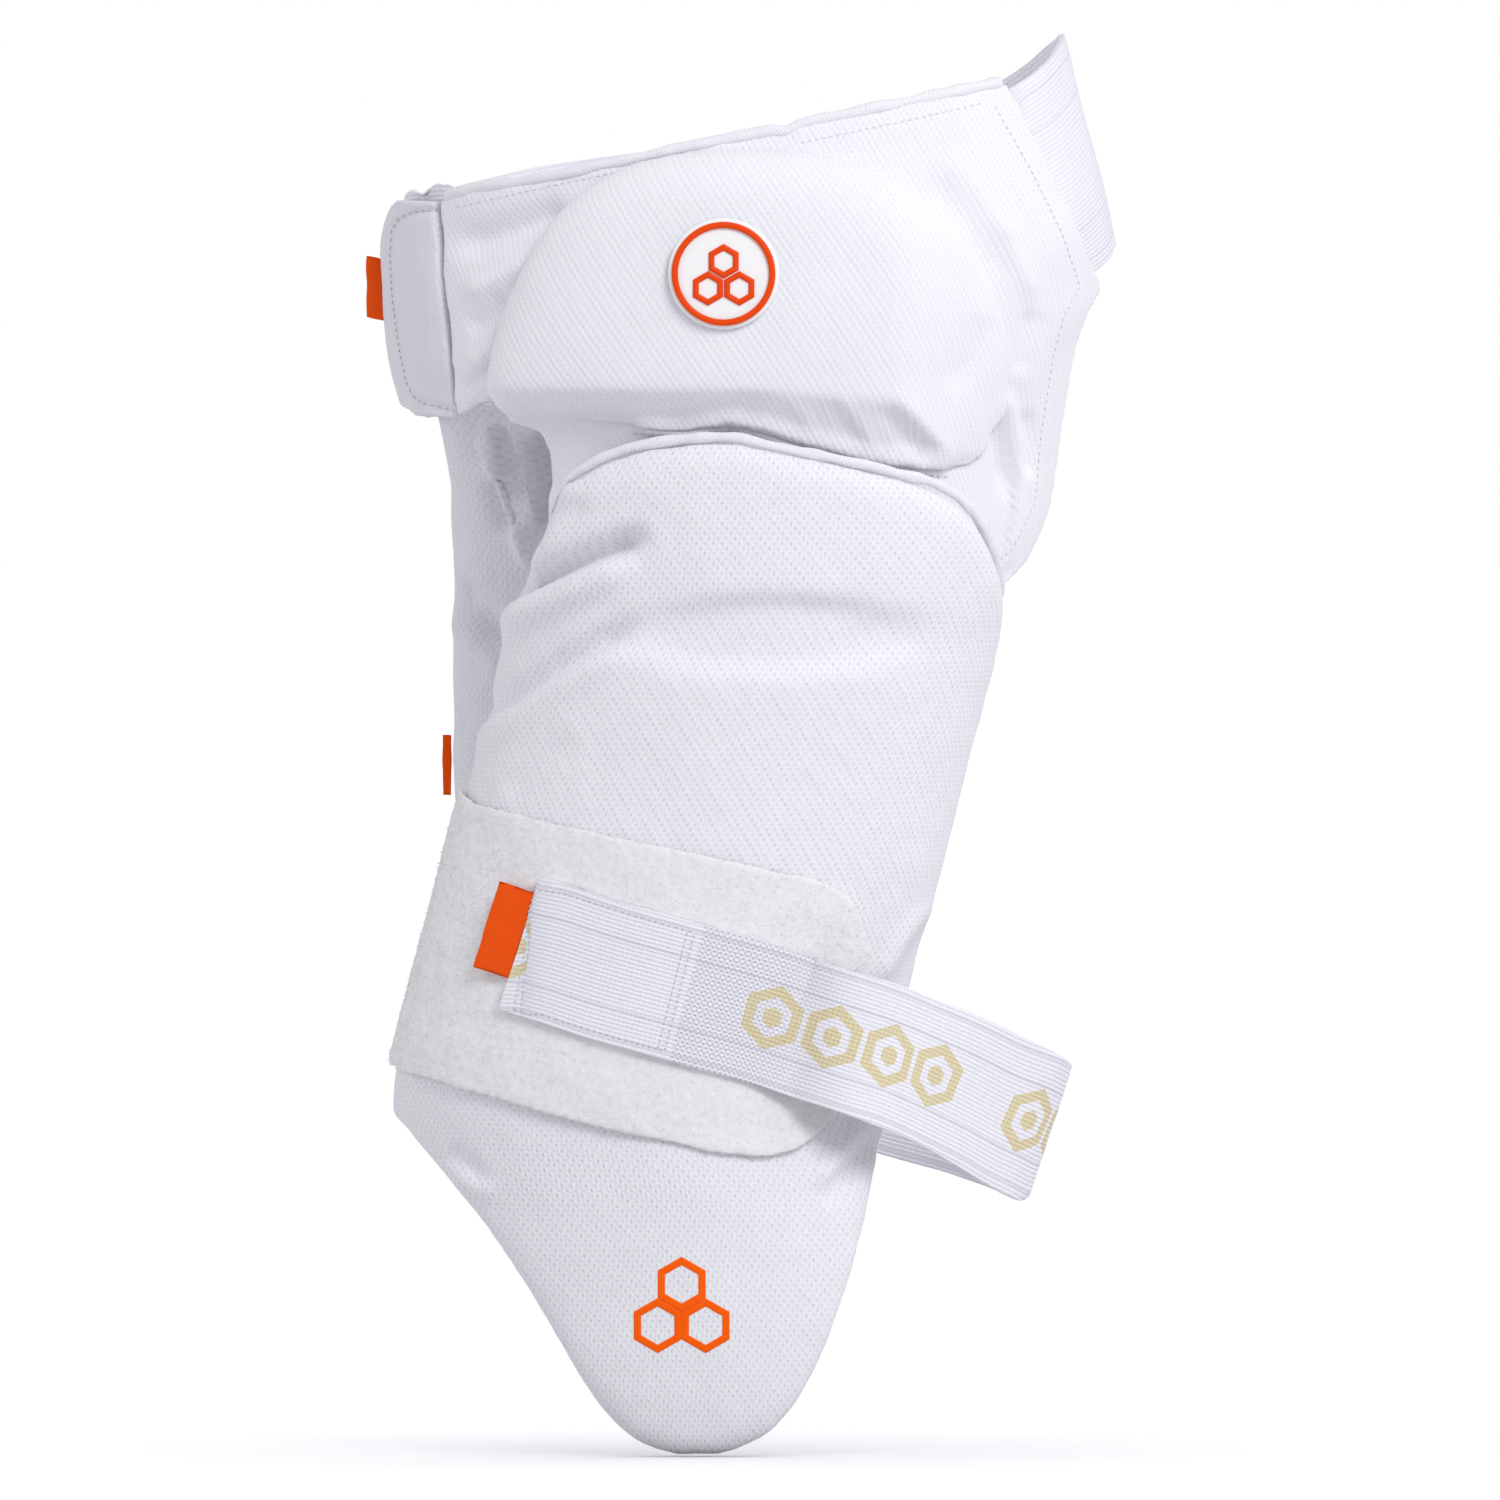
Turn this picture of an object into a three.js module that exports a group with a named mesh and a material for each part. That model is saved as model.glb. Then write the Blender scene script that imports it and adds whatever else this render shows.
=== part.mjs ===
// Cricket thigh guard in its worn form, seen from the wearer's outer side.
// Millimetres, +Z up. The origin is the middle of the waist opening, at mid belt height.
// -Y is the outer side of the padded leg, -X is the front of the body, where the belt closes.

import * as THREE from 'three';

// Waist belt, yoke and elastic
const waistHalfWidth = 131.5;
const waistHalfDepth = 115.5;
const waistSquareness = 2.3;
const yokeHeight = 182;
const beltThickness = 3;
const bindingDiameter = 3.6;
const elasticWidth = 77;
const elasticThickness = 2;
const tabThickness = 4;

// Hip pad and its badge
const hipPadHalfWidth = 91;
const hipPadHeight = 100;
const hipPadRise = 16;
const hipPadEdge = 24;
const badgeDiameter = 40;
const badgeThickness = 2.4;
const badgeRingWidth = 2.9;
const badgeRingRise = 1;

// Outer thigh pad, its piping and its loop-pile panel
const thighPadLength = 363.5;
const thighHalfWidth = 82.5;
const thighHalfDepth = 70;
const thighPadThickness = 14;
const pipingDiameter = 3;
const panelThickness = 2.5;

// Leg strap
const strapWidth = 50;
const strapThickness = 1.8;

// Inner guard of the other leg and its elastic loop
const guardLength = 251;
const guardHalfWidth = 58.5;
const guardHalfDepth = 44;
const guardThickness = 12;
const guardStrapWidth = 38;

// Labels
const labelThickness = 0.8;
const labelLength = 22;

// Pieces that touch on the real guard stand this far apart
const clearance = 0.3;
const seamThickness = 2;

const colours = {
  cover: { color: '#e9e9ee', roughness: 0.9, metalness: 0 },
  binding: { color: '#dcdce3', roughness: 0.85, metalness: 0 },
  pile: { color: '#ededf0', roughness: 1, metalness: 0 },
  elastic: { color: '#f0f0f4', roughness: 0.85, metalness: 0 },
  whiteRubber: { color: '#f4f4f4', roughness: 0.5, metalness: 0 },
  orangeRubber: { color: '#e64a10', roughness: 0.45, metalness: 0 },
  orangeLabel: { color: '#ff5f08', roughness: 0.7, metalness: 0 },
};

// Tables: the first column is the place of a row, the others are read between rows.
function makeTable(columns, rows) {
  return {
    places: rows.map((row) => row[0]),
    read(column, place) {
      const k = columns.indexOf(column);
      const clamped = THREE.MathUtils.clamp(place, rows[0][0], rows[rows.length - 1][0]);
      let i = 0;
      while (i < rows.length - 2 && rows[i + 1][0] < clamped) {
        i += 1;
      }
      const share = (clamped - rows[i][0]) / (rows[i + 1][0] - rows[i][0]);
      return THREE.MathUtils.lerp(rows[i][k], rows[i + 1][k], share);
    },
  };
}

// A closed wall between two grids of points: outer(u, v) and inner(u, v), u across, v down.
function wall(us, vs, outer, inner) {
  const across = us.length;
  const down = vs.length;
  const positions = [];
  for (const face of [outer, inner]) {
    for (const v of vs) {
      for (const u of us) {
        positions.push(...face(u, v).toArray());
      }
    }
  }
  const at = (face, row, column) => (face * down + row) * across + column;
  const triangles = [];
  const quad = (a, b, c, d) => triangles.push(a, b, c, a, c, d);
  for (let r = 0; r < down - 1; r += 1) {
    for (let c = 0; c < across - 1; c += 1) {
      quad(at(0, r, c), at(0, r + 1, c), at(0, r + 1, c + 1), at(0, r, c + 1));
      quad(at(1, r, c), at(1, r, c + 1), at(1, r + 1, c + 1), at(1, r + 1, c));
    }
  }
  for (let c = 0; c < across - 1; c += 1) {
    quad(at(0, 0, c), at(0, 0, c + 1), at(1, 0, c + 1), at(1, 0, c));
    quad(at(0, down - 1, c), at(1, down - 1, c), at(1, down - 1, c + 1), at(0, down - 1, c + 1));
  }
  for (let r = 0; r < down - 1; r += 1) {
    quad(at(0, r, 0), at(1, r, 0), at(1, r + 1, 0), at(0, r + 1, 0));
    quad(at(0, r, across - 1), at(0, r + 1, across - 1), at(1, r + 1, across - 1), at(1, r, across - 1));
  }
  return outward(positions, triangles);
}

// Geometry from points and triangles, turned so that its faces point out.
function outward(positions, triangles) {
  const corner = (i) => new THREE.Vector3().fromArray(positions, 3 * i);
  let volume = 0;
  for (let i = 0; i < triangles.length; i += 3) {
    const [a, b, c] = [corner(triangles[i]), corner(triangles[i + 1]), corner(triangles[i + 2])];
    volume += a.dot(b.cross(c));
  }
  const facing = volume < 0 ? triangles.slice().reverse() : triangles;
  const geometry = new THREE.BufferGeometry();
  geometry.setAttribute('position', new THREE.Float32BufferAttribute(positions, 3));
  geometry.setIndex(facing);
  geometry.computeVertexNormals();
  return geometry;
}

// Even steps from 0 to 1, and steps that crowd towards both ends.
const evenSteps = (count) => Array.from({ length: count + 1 }, (_, i) => i / count);
const endSteps = (count) => evenSteps(count).map((s) => (s + (1 - Math.cos(Math.PI * s)) / 2) / 2);

// A form is a stack of level rings. ring(height) gives its middle, half sizes and squareness.
function onForm(ring, angle, height) {
  const { middleX, middleY, halfX, halfY, squareness } = ring(height);
  const power = 2 / squareness;
  const bend = (value) => Math.sign(value) * Math.abs(value) ** power;
  const x = middleX + halfX * bend(Math.sin(angle));
  const y = middleY - halfY * bend(Math.cos(angle));
  return new THREE.Vector3(x, y, height);
}

function formNormal(ring, angle, height) {
  const turn = 0.01;
  const rise = 0.5;
  const around = onForm(ring, angle + turn, height).sub(onForm(ring, angle - turn, height));
  const up = onForm(ring, angle, height + rise).sub(onForm(ring, angle, height - rise));
  return around.cross(up).normalize();
}

function offForm(ring, angle, height, distance) {
  return onForm(ring, angle, height).addScaledVector(formNormal(ring, angle, height), distance);
}

// The angle at which a form's front reaches a given x.
function angleAt(ring, x, height) {
  const { middleX, halfX, squareness } = ring(height);
  const share = THREE.MathUtils.clamp((x - middleX) / halfX, -0.999, 0.999);
  return Math.asin(Math.sign(share) * Math.abs(share) ** (squareness / 2));
}

// Distance from a point to an outline, both in flat (along, height) measure.
function edgeDistance(outline, along, height) {
  const point = new THREE.Vector2(along, height);
  let nearest = Infinity;
  for (let i = 0; i < outline.length; i += 1) {
    const start = outline[i];
    const span = outline[(i + 1) % outline.length].clone().sub(start);
    const reach = Math.max(span.lengthSq(), 1e-9);
    const share = THREE.MathUtils.clamp(point.clone().sub(start).dot(span) / reach, 0, 1);
    nearest = Math.min(nearest, point.distanceTo(start.clone().addScaledVector(span, share)));
  }
  return nearest;
}

// Height of a rounded edge at a distance from it: a quarter ellipse up to full height.
function roundedRise(distance, reach, full) {
  const share = 1 - Math.min(distance / reach, 1);
  return full * Math.sqrt(Math.max(0, 1 - share * share));
}

// A round cord along a list of points.
function cord(points, diameter, steps) {
  const section = new THREE.Shape();
  section.absarc(0, 0, diameter / 2, 0, 2 * Math.PI, false);
  const extrudePath = new THREE.CatmullRomCurve3(points);
  return new THREE.ExtrudeGeometry(section, { steps, curveSegments: 4, bevelEnabled: false, extrudePath });
}

const guard = new THREE.Group();

function addPiece(name, geometry, colour) {
  const mesh = new THREE.Mesh(geometry, new THREE.MeshStandardMaterial(colour));
  mesh.name = name;
  guard.add(mesh);
  return mesh;
}

// Hip form: the body from the waist down to the top of the thigh.
// Heights are shares of the yoke height, middle and half are shares of the waist half width.
const hipTable = makeTable(['height', 'middle', 'half', 'depth'], [
  [-0.72, -0.01, 0.75, 0.975],
  [-0.55, -0.01, 0.84, 0.975],
  [-0.33, -0.02, 0.90, 0.985],
  [-0.16, 0.00, 0.96, 1.00],
  [0.00, 0.026, 1.00, 1.00],
  [0.22, -0.012, 0.962, 1.00],
  [0.50, -0.06, 0.912, 0.97],
]);

function hipRing(height) {
  const place = height / yokeHeight;
  return {
    middleX: waistHalfWidth * hipTable.read('middle', place),
    middleY: 0,
    halfX: waistHalfWidth * hipTable.read('half', place),
    halfY: waistHalfDepth * hipTable.read('depth', place),
    squareness: waistSquareness,
  };
}

// Thigh form: the middle of the pad's thickness.
// down is a share of the pad length; left, right, middle and half are shares of the half width;
// deep is a share of the half depth. left and right are where the outline runs.
const thighTable = makeTable(['down', 'left', 'right', 'middle', 'half', 'deep'], [
  [0.000, -0.16, -0.06, 0.05, 1.20, 1.00],
  [0.006, -0.44, 0.04, 0.05, 1.20, 1.00],
  [0.017, -0.60, 0.29, 0.05, 1.19, 1.00],
  [0.034, -0.74, 0.61, 0.05, 1.18, 1.00],
  [0.047, -0.815, 0.815, 0.05, 1.17, 1.00],
  [0.073, -0.875, 0.965, 0.05, 1.15, 1.00],
  [0.115, -0.935, 1.055, 0.045, 1.11, 1.00],
  [0.156, -1.005, 1.085, 0.04, 1.065, 1.00],
  [0.206, -1.065, 1.07, 0.00, 1.01, 1.00],
  [0.255, -1.13, 1.015, -0.055, 1.00, 1.00],
  [0.354, -1.25, 0.92, -0.165, 1.00, 0.99],
  [0.453, -1.36, 0.82, -0.275, 1.00, 0.98],
  [0.552, -1.48, 0.69, -0.39, 1.00, 0.965],
  [0.602, -1.54, 0.625, -0.455, 1.00, 0.955],
  [0.637, -1.55, 0.585, -0.478, 1.00, 0.95],
  [0.667, -1.52, 0.555, -0.475, 1.02, 0.945],
  [0.701, -1.40, 0.54, -0.43, 1.05, 0.94],
  [0.750, -1.21, 0.51, -0.35, 1.07, 0.93],
  [0.800, -1.06, 0.46, -0.30, 1.07, 0.91],
  [0.850, -0.92, 0.395, -0.265, 1.06, 0.89],
  [0.899, -0.80, 0.32, -0.24, 1.05, 0.87],
  [0.948, -0.67, 0.205, -0.23, 1.04, 0.84],
  [0.978, -0.555, 0.10, -0.23, 1.03, 0.82],
  [0.993, -0.435, -0.035, -0.23, 1.02, 0.81],
  [1.000, -0.30, -0.16, -0.23, 1.02, 0.81],
]);

// The thigh form stands in front of the waist so that the pad's back meets the yoke's face.
const hipPadBottom = -0.36 * yokeHeight;
const gapUnderHipPad = 2.5;
const thighPadTop = hipPadBottom - pipingDiameter - gapUnderHipPad;
const yokeFrontAtPad = 0.98 * waistHalfDepth + beltThickness;
const thighMiddleY = -(yokeFrontAtPad + clearance + thighPadThickness / 2 - thighHalfDepth);

function thighRing(height) {
  const place = (thighPadTop - height) / thighPadLength;
  return {
    middleX: thighHalfWidth * thighTable.read('middle', place),
    middleY: thighMiddleY,
    halfX: thighHalfWidth * thighTable.read('half', place),
    halfY: thighHalfDepth * thighTable.read('deep', place),
    squareness: 2,
  };
}

// Angles of the thigh pad's two edges at a height. Where the outline reaches the form's
// side, the edge wraps on past it to full wrap.
const fullWrap = THREE.MathUtils.degToRad(97);

function thighEdges(height) {
  const place = (thighPadTop - height) / thighPadLength;
  const { middleX, halfX } = thighRing(height);
  const edge = (column) => {
    const share = (thighHalfWidth * thighTable.read(column, place) - middleX) / halfX;
    const bent = Math.asin(THREE.MathUtils.clamp(share, -1, 1));
    return Math.abs(share) >= 1 ? Math.sign(share) * fullWrap : bent;
  };
  return [edge('left'), edge('right')];
}

// Flat measure along the thigh: the mean half size times the angle.
function thighAlong(angle, height) {
  const { halfX, halfY } = thighRing(height);
  return ((halfX + halfY) / 2) * angle;
}

const thighHeights = thighTable.places.map((place) => thighPadTop - place * thighPadLength);
const thighOutline = [];
for (const height of thighHeights) {
  thighOutline.push(new THREE.Vector2(thighAlong(thighEdges(height)[1], height), height));
}
for (const height of thighHeights.slice().reverse()) {
  thighOutline.push(new THREE.Vector2(thighAlong(thighEdges(height)[0], height), height));
}

// Half of the thigh pad's thickness at a place: full in the middle, round at the edge.
function thighHalfThickness(angle, height) {
  const distance = edgeDistance(thighOutline, thighAlong(angle, height), height);
  const full = (thighPadThickness - seamThickness) / 2;
  return seamThickness / 2 + roundedRise(distance, thighPadThickness * 0.7, full);
}

function thighFace(angle, height, lift) {
  return offForm(thighRing, angle, height, thighHalfThickness(angle, height) + lift);
}

function buildThighPad() {
  const place = (u, height, sign) => {
    const [left, right] = thighEdges(height);
    const angle = THREE.MathUtils.lerp(left, right, u);
    return offForm(thighRing, angle, height, sign * thighHalfThickness(angle, height));
  };
  const outer = (u, height) => place(u, height, 1);
  const inner = (u, height) => place(u, height, -1);
  return wall(endSteps(26), thighHeights, outer, inner);
}

addPiece('thigh_pad', buildThighPad(), colours.cover);

// Piping stands on the pad's top edge, from the left shoulder over the top to the right one.
function buildPiping() {
  const stand = pipingDiameter / 2 + clearance + 0.15;
  const rows = thighHeights.slice(0, 8);
  const edge = (side) => (height) => ({ angle: thighEdges(height)[side], height });
  const stops = [...rows.slice(0, 6).reverse().map(edge(0)), ...rows.map(edge(1))];
  const rim = stops.map(({ angle, height }) => onForm(thighRing, angle, height));
  const points = stops.map(({ angle, height }, i) => {
    const before = rim[Math.max(i - 1, 0)];
    const after = rim[Math.min(i + 1, rim.length - 1)];
    const along = after.clone().sub(before).normalize();
    const away = formNormal(thighRing, angle, height).cross(along).normalize();
    return rim[i].clone().addScaledVector(away, stand);
  });
  return cord(points, pipingDiameter, 40);
}

addPiece('pad_piping', buildPiping(), colours.binding);

// Loop-pile panel on the lower pad. Each row is one line down it, from the left end, which
// turns round the pad's side, to the right end. Turns are degrees round the thigh form,
// heights are shares of the thigh pad length below the pad's top.
const panelTable = makeTable(['along', 'topTurn', 'topDown', 'bottomTurn', 'bottomDown'], [
  [0.00, -87, 0.350, -87, 0.622],
  [0.12, -69, 0.362, -58, 0.632],
  [0.25, -42, 0.374, -36, 0.646],
  [0.40, -19, 0.390, -15, 0.668],
  [0.55, 0, 0.404, 2, 0.686],
  [0.70, 18, 0.418, 17, 0.704],
  [0.82, 32, 0.430, 29, 0.708],
  [0.91, 42, 0.450, 39, 0.694],
  [0.97, 48, 0.480, 50, 0.668],
  [1.00, 53, 0.520, 54, 0.635],
]);

const panelStand = 2.2 * clearance;

function buildPanel() {
  const face = (lift) => (u, v) => {
    const turn = THREE.MathUtils.lerp(panelTable.read('topTurn', u), panelTable.read('bottomTurn', u), v);
    const down = THREE.MathUtils.lerp(panelTable.read('topDown', u), panelTable.read('bottomDown', u), v);
    return thighFace(THREE.MathUtils.degToRad(turn), thighPadTop - down * thighPadLength, lift);
  };
  return wall(endSteps(24), evenSteps(8), face(panelStand + panelThickness), face(panelStand));
}

addPiece('plush_panel', buildPanel(), colours.pile);

// Leg strap. Its sewn end lies on the loop-pile panel. From there it follows the pad, leaves it
// towards the back of the leg, folds round and comes back inside the pad's front edge.
const strapLift = panelStand + panelThickness + 2 * clearance;

// On the pad: x in thigh half widths, down in pad lengths, tilt of the top edge in degrees.
const strapOnPad = makeTable(['x', 'down', 'tilt'], [
  [-0.975, 0.497, 17],
  [-0.64, 0.519, 15],
  [-0.28, 0.540, 14],
  [0.06, 0.561, 17],
  [0.16, 0.569, 19],
]);

// Off the pad: x in thigh half widths, y in thigh half depths from the thigh's middle,
// down in pad lengths, lean in degrees of the strap's top edge towards the back of the leg.
const strapOffPad = makeTable(['stop', 'x', 'y', 'down', 'lean'], [
  [0, 0.42, -0.86, 0.590, 0],
  [1, 0.78, -0.62, 0.622, 0],
  [2, 1.14, -0.38, 0.660, 0],
  [3, 1.33, -0.25, 0.680, 0],
  [4, 1.405, -0.14, 0.686, 0],
  [5, 1.405, -0.02, 0.686, 0],
  [6, 1.30, 0.12, 0.680, 0],
  [7, 0.98, 0.42, 0.664, 0],
  [8, 0.50, 0.72, 0.640, 0],
  [9, -0.05, 0.88, 0.612, 0],
  [10, -0.58, 0.78, 0.582, 4],
  [11, -0.94, 0.50, 0.555, 10],
  [12, -1.13, 0.22, 0.532, 15],
  [13, -1.185, 0.08, 0.518, 16],
]);

// A place on the strap's inner face over the pad, at a distance across from its middle line.
function strapOverPad(x, across, lift) {
  const tilt = THREE.MathUtils.degToRad(strapOnPad.read('tilt', x));
  const height = thighPadTop - strapOnPad.read('down', x) * thighPadLength + across * Math.cos(tilt);
  const { middleX, halfX } = thighRing(height);
  const side = x * thighHalfWidth + across * Math.sin(tilt) - middleX;
  return thighFace(Math.asin(side / (halfX + thighPadThickness / 2)), height, strapLift + lift);
}

function strapStops() {
  const onPad = evenSteps(10).map((s) => THREE.MathUtils.lerp(-0.975, 0.16, s));
  const seated = onPad.map((x) => ({ place: (across, lift) => strapOverPad(x, across, lift) }));
  const points = onPad.map((x) => strapOverPad(x, 0, 0));
  const leans = onPad.map(() => 0);
  for (const stop of strapOffPad.places) {
    const x = strapOffPad.read('x', stop) * thighHalfWidth;
    const y = thighMiddleY + strapOffPad.read('y', stop) * (thighHalfDepth + thighPadThickness);
    const z = thighPadTop - strapOffPad.read('down', stop) * thighPadLength;
    points.push(new THREE.Vector3(x, y, z));
    leans.push(strapOffPad.read('lean', stop));
  }
  const curve = new THREE.CatmullRomCurve3(points, false, 'centripetal');
  const seatedShare = (onPad.length - 1) / (points.length - 1);
  const free = evenSteps(36).slice(1).map((s) => bandStop(curve, leans, THREE.MathUtils.lerp(seatedShare, 1, s)));
  return [...seated, ...free];
}

// A stop on a curve: the band stands upright on its route, or leans by a list of angles.
function bandStop(curve, leans, share) {
  const along = curve.getTangent(share);
  const stop = share * (leans.length - 1);
  const low = Math.floor(Math.min(stop, leans.length - 2));
  const turn = THREE.MathUtils.degToRad(THREE.MathUtils.lerp(leans[low], leans[low + 1], stop - low));
  const out = along.clone().cross(new THREE.Vector3(0, 0, 1)).normalize().applyAxisAngle(along, turn);
  const side = out.clone().cross(along).normalize();
  const point = curve.getPoint(share);
  return { place: (across, lift) => point.clone().addScaledVector(side, across).addScaledVector(out, lift) };
}

function band(stops, width, thickness) {
  const face = (lift) => (u, i) => stops[i].place((u - 0.5) * width, lift);
  return wall([0, 0.25, 0.5, 0.75, 1], stops.map((_, i) => i), face(thickness), face(0));
}

addPiece('leg_strap', band(strapStops(), strapWidth, strapThickness), colours.elastic);

// The strap's label is sewn under its free end and stands out to the left on the panel.
function buildStrapLabel() {
  const end = -0.975;
  const low = strapOverPad(end, -strapWidth / 3, 0);
  const high = strapOverPad(end, strapWidth / 2, 0);
  const along = strapOverPad(end + 0.045, 0, 0).sub(strapOverPad(end, 0, 0)).normalize();
  const reach = 12;
  const stand = 2 * clearance;
  const place = (lift) => (u, v) => low.clone().lerp(high, v)
    .addScaledVector(along, -4 * clearance - reach * (1 - u))
    .add(new THREE.Vector3(0, -lift, 0));
  return wall(evenSteps(3), evenSteps(3), place(labelThickness + stand), place(stand));
}

addPiece('strap_tag', buildStrapLabel(), colours.orangeLabel);

// Belt and yoke, one sewn cloth piece. Rows run across it from the closing side to the back.
// x is in waist half widths and height in yoke heights; lift raises the row near its left end.
const yokeTable = makeTable(['row', 'leftX', 'leftHeight', 'rightX', 'rightHeight', 'lift'], [
  [0, -0.835, 0.088, 0.690, 0.318, 0.006],
  [1, -0.826, -0.010, 0.735, 0.255, 0.000],
  [2, -0.815, -0.115, 0.800, 0.160, 0.000],
  [3, -0.802, -0.225, 0.875, 0.050, 0.008],
  [4, -0.788, -0.340, 0.950, -0.080, 0.022],
  [5, -0.640, -0.352, 0.900, -0.140, 0.000],
  [6, -0.565, -0.368, 0.868, -0.232, 0.000],
  [7, -0.540, -0.420, 0.832, -0.380, 0.000],
  [8, -0.545, -0.500, 0.815, -0.515, 0.000],
  [9, -0.540, -0.570, 0.752, -0.620, 0.000],
  [10, -0.520, -0.630, 0.665, -0.682, 0.000],
]);

function yokePlace(u, row) {
  const left = [yokeTable.read('leftX', row) * waistHalfWidth, yokeTable.read('leftHeight', row)];
  const right = [yokeTable.read('rightX', row) * waistHalfWidth, yokeTable.read('rightHeight', row)];
  const x = THREE.MathUtils.lerp(left[0], right[0], u);
  const hump = Math.exp(-(((u - 0.07) / 0.06) ** 2));
  const share = THREE.MathUtils.lerp(left[1], right[1], u) + yokeTable.read('lift', row) * hump;
  return { x, height: share * yokeHeight };
}

function hipPoint(x, height, lift) {
  return offForm(hipRing, angleAt(hipRing, x, height), height, lift);
}

// How far the yoke gives way to pass behind the thigh pad and its piping.
function giveWay(front) {
  const { middleX, middleY, halfX, halfY } = thighRing(front.z);
  const share = Math.abs(front.x - middleX) / halfX;
  const rise = Math.sqrt(1 - Math.min(share, 0.99) ** 2);
  const facing = (rise / halfY) / Math.hypot(share / halfX, rise / halfY);
  const stand = (thighPadThickness / 2 + 6 * clearance) / Math.max(facing, 0.55);
  const near = 1 - THREE.MathUtils.smoothstep(share, 0.92, 0.99);
  const below = 1 - THREE.MathUtils.smoothstep(front.z, thighPadTop + 4, thighPadTop + 10);
  return near * below * Math.max(0, middleY - halfY * rise + stand - front.y);
}

function buildYoke() {
  const rows = [0, 0.5, 1, 2, 3, 3.5, 4, 4.5, 5, 6, 7, 8, 9, 10];
  const face = (lift) => (u, row) => {
    const { x, height } = yokePlace(u, row);
    const shift = giveWay(hipPoint(x, height, beltThickness));
    return hipPoint(x, height, lift).add(new THREE.Vector3(0, shift, 0));
  };
  return wall(endSteps(28), rows, face(beltThickness), face(0));
}

addPiece('belt_yoke', buildYoke(), colours.cover);

// Binding along the belt's top edge
function buildBinding() {
  const points = evenSteps(16).map((s) => {
    const { x, height } = yokePlace(0.01 + 0.98 * s, 0);
    const point = hipPoint(x, height, beltThickness / 2);
    return point.add(new THREE.Vector3(0, 0, bindingDiameter / 2 + clearance + 0.35));
  });
  return cord(points, bindingDiameter, 30);
}

addPiece('belt_binding', buildBinding(), colours.binding);

// Closing tab: rounded, sewn to the belt's left end, and over the elastic.
// left and right in waist half widths, height in yoke heights.
const tabTable = makeTable(['row', 'leftX', 'leftHeight', 'rightX', 'rightHeight'], [
  [0, -0.925, 0.090, -0.838, 0.086],
  [1, -0.950, 0.066, -0.836, 0.060],
  [2, -0.962, 0.025, -0.833, 0.015],
  [3, -0.958, -0.060, -0.826, -0.070],
  [4, -0.952, -0.170, -0.817, -0.180],
  [5, -0.936, -0.270, -0.804, -0.270],
  [6, -0.915, -0.318, -0.796, -0.320],
  [7, -0.880, -0.335, -0.793, -0.340],
]);

function buildTab() {
  const gapShare = clearance / waistHalfWidth;
  const face = (lift) => (u, row) => {
    const leftX = tabTable.read('leftX', row);
    const rightX = tabTable.read('rightX', row) - gapShare;
    const heights = [tabTable.read('leftHeight', row), tabTable.read('rightHeight', row)];
    const height = yokeHeight * THREE.MathUtils.lerp(heights[0], heights[1], u);
    const leftAngle = angleAt(hipRing, leftX * waistHalfWidth, height);
    const rightAngle = angleAt(hipRing, rightX * waistHalfWidth, height);
    return offForm(hipRing, THREE.MathUtils.lerp(leftAngle, rightAngle, u), height, lift);
  };
  return wall(evenSteps(8), tabTable.places, face(tabThickness), face(0));
}

addPiece('closing_tab', buildTab(), colours.cover);

// Waist elastic: from under the yoke's back edge round the far side to under the tab.
// turn in degrees from the front of the picture, height of its middle in yoke heights.
const elasticTable = makeTable(['turn', 'height'], [
  [44, 0.075],
  [60, 0.125],
  [75, 0.180],
  [90, 0.216],
  [105, 0.200],
  [120, 0.150],
  [140, 0.080],
  [160, 0.030],
  [180, 0.000],
  [200, -0.030],
  [220, -0.065],
  [240, -0.105],
  [255, -0.130],
  [270, -0.145],
  [290, -0.130],
  [312, -0.120],
]);

function elasticPlace(turn, share) {
  const angle = THREE.MathUtils.degToRad(turn);
  const step = 1;
  const slope = elasticTable.read('height', turn + step) - elasticTable.read('height', turn - step);
  const run = THREE.MathUtils.degToRad(2 * step) * waistHalfWidth;
  const rise = Math.atan2(slope * yokeHeight, run);
  const middle = elasticTable.read('height', turn) * yokeHeight;
  const across = (share - 0.5) * elasticWidth;
  const shift = (-Math.sin(rise) * across) / waistHalfWidth;
  return { angle: angle + shift, height: middle + Math.cos(rise) * across };
}

function buildElastic() {
  const [first, last] = [elasticTable.places[0], elasticTable.places[elasticTable.places.length - 1]];
  const turns = evenSteps(46).map((s) => THREE.MathUtils.lerp(first, last, s));
  const face = (lift) => (share, turn) => {
    const { angle, height } = elasticPlace(turn, share);
    return offForm(hipRing, angle, height, lift);
  };
  const stand = -3.5 * clearance;
  return wall(evenSteps(4), turns, face(stand), face(stand - elasticThickness));
}

addPiece('waist_elastic', buildElastic(), colours.elastic);

// Label at the tab's end
function buildWaistLabel() {
  const row = 3;
  const x = tabTable.read('leftX', row) * waistHalfWidth;
  const height = tabTable.read('leftHeight', row) * yokeHeight;
  const root = offForm(hipRing, angleAt(hipRing, x, height), height, clearance);
  const reach = 9;
  const back = 1.2;
  const drop = 6;
  const place = (shift) => (u, v) => new THREE.Vector3(
    root.x - clearance - 0.85 * tabThickness - reach * u,
    root.y + back + 3 * u + shift,
    root.z + labelLength * (0.5 - v) - drop + 2 * u,
  );
  return wall(evenSteps(2), evenSteps(2), place(0), place(labelThickness));
}

addPiece('waist_tag', buildWaistLabel(), colours.orangeLabel);

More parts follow.
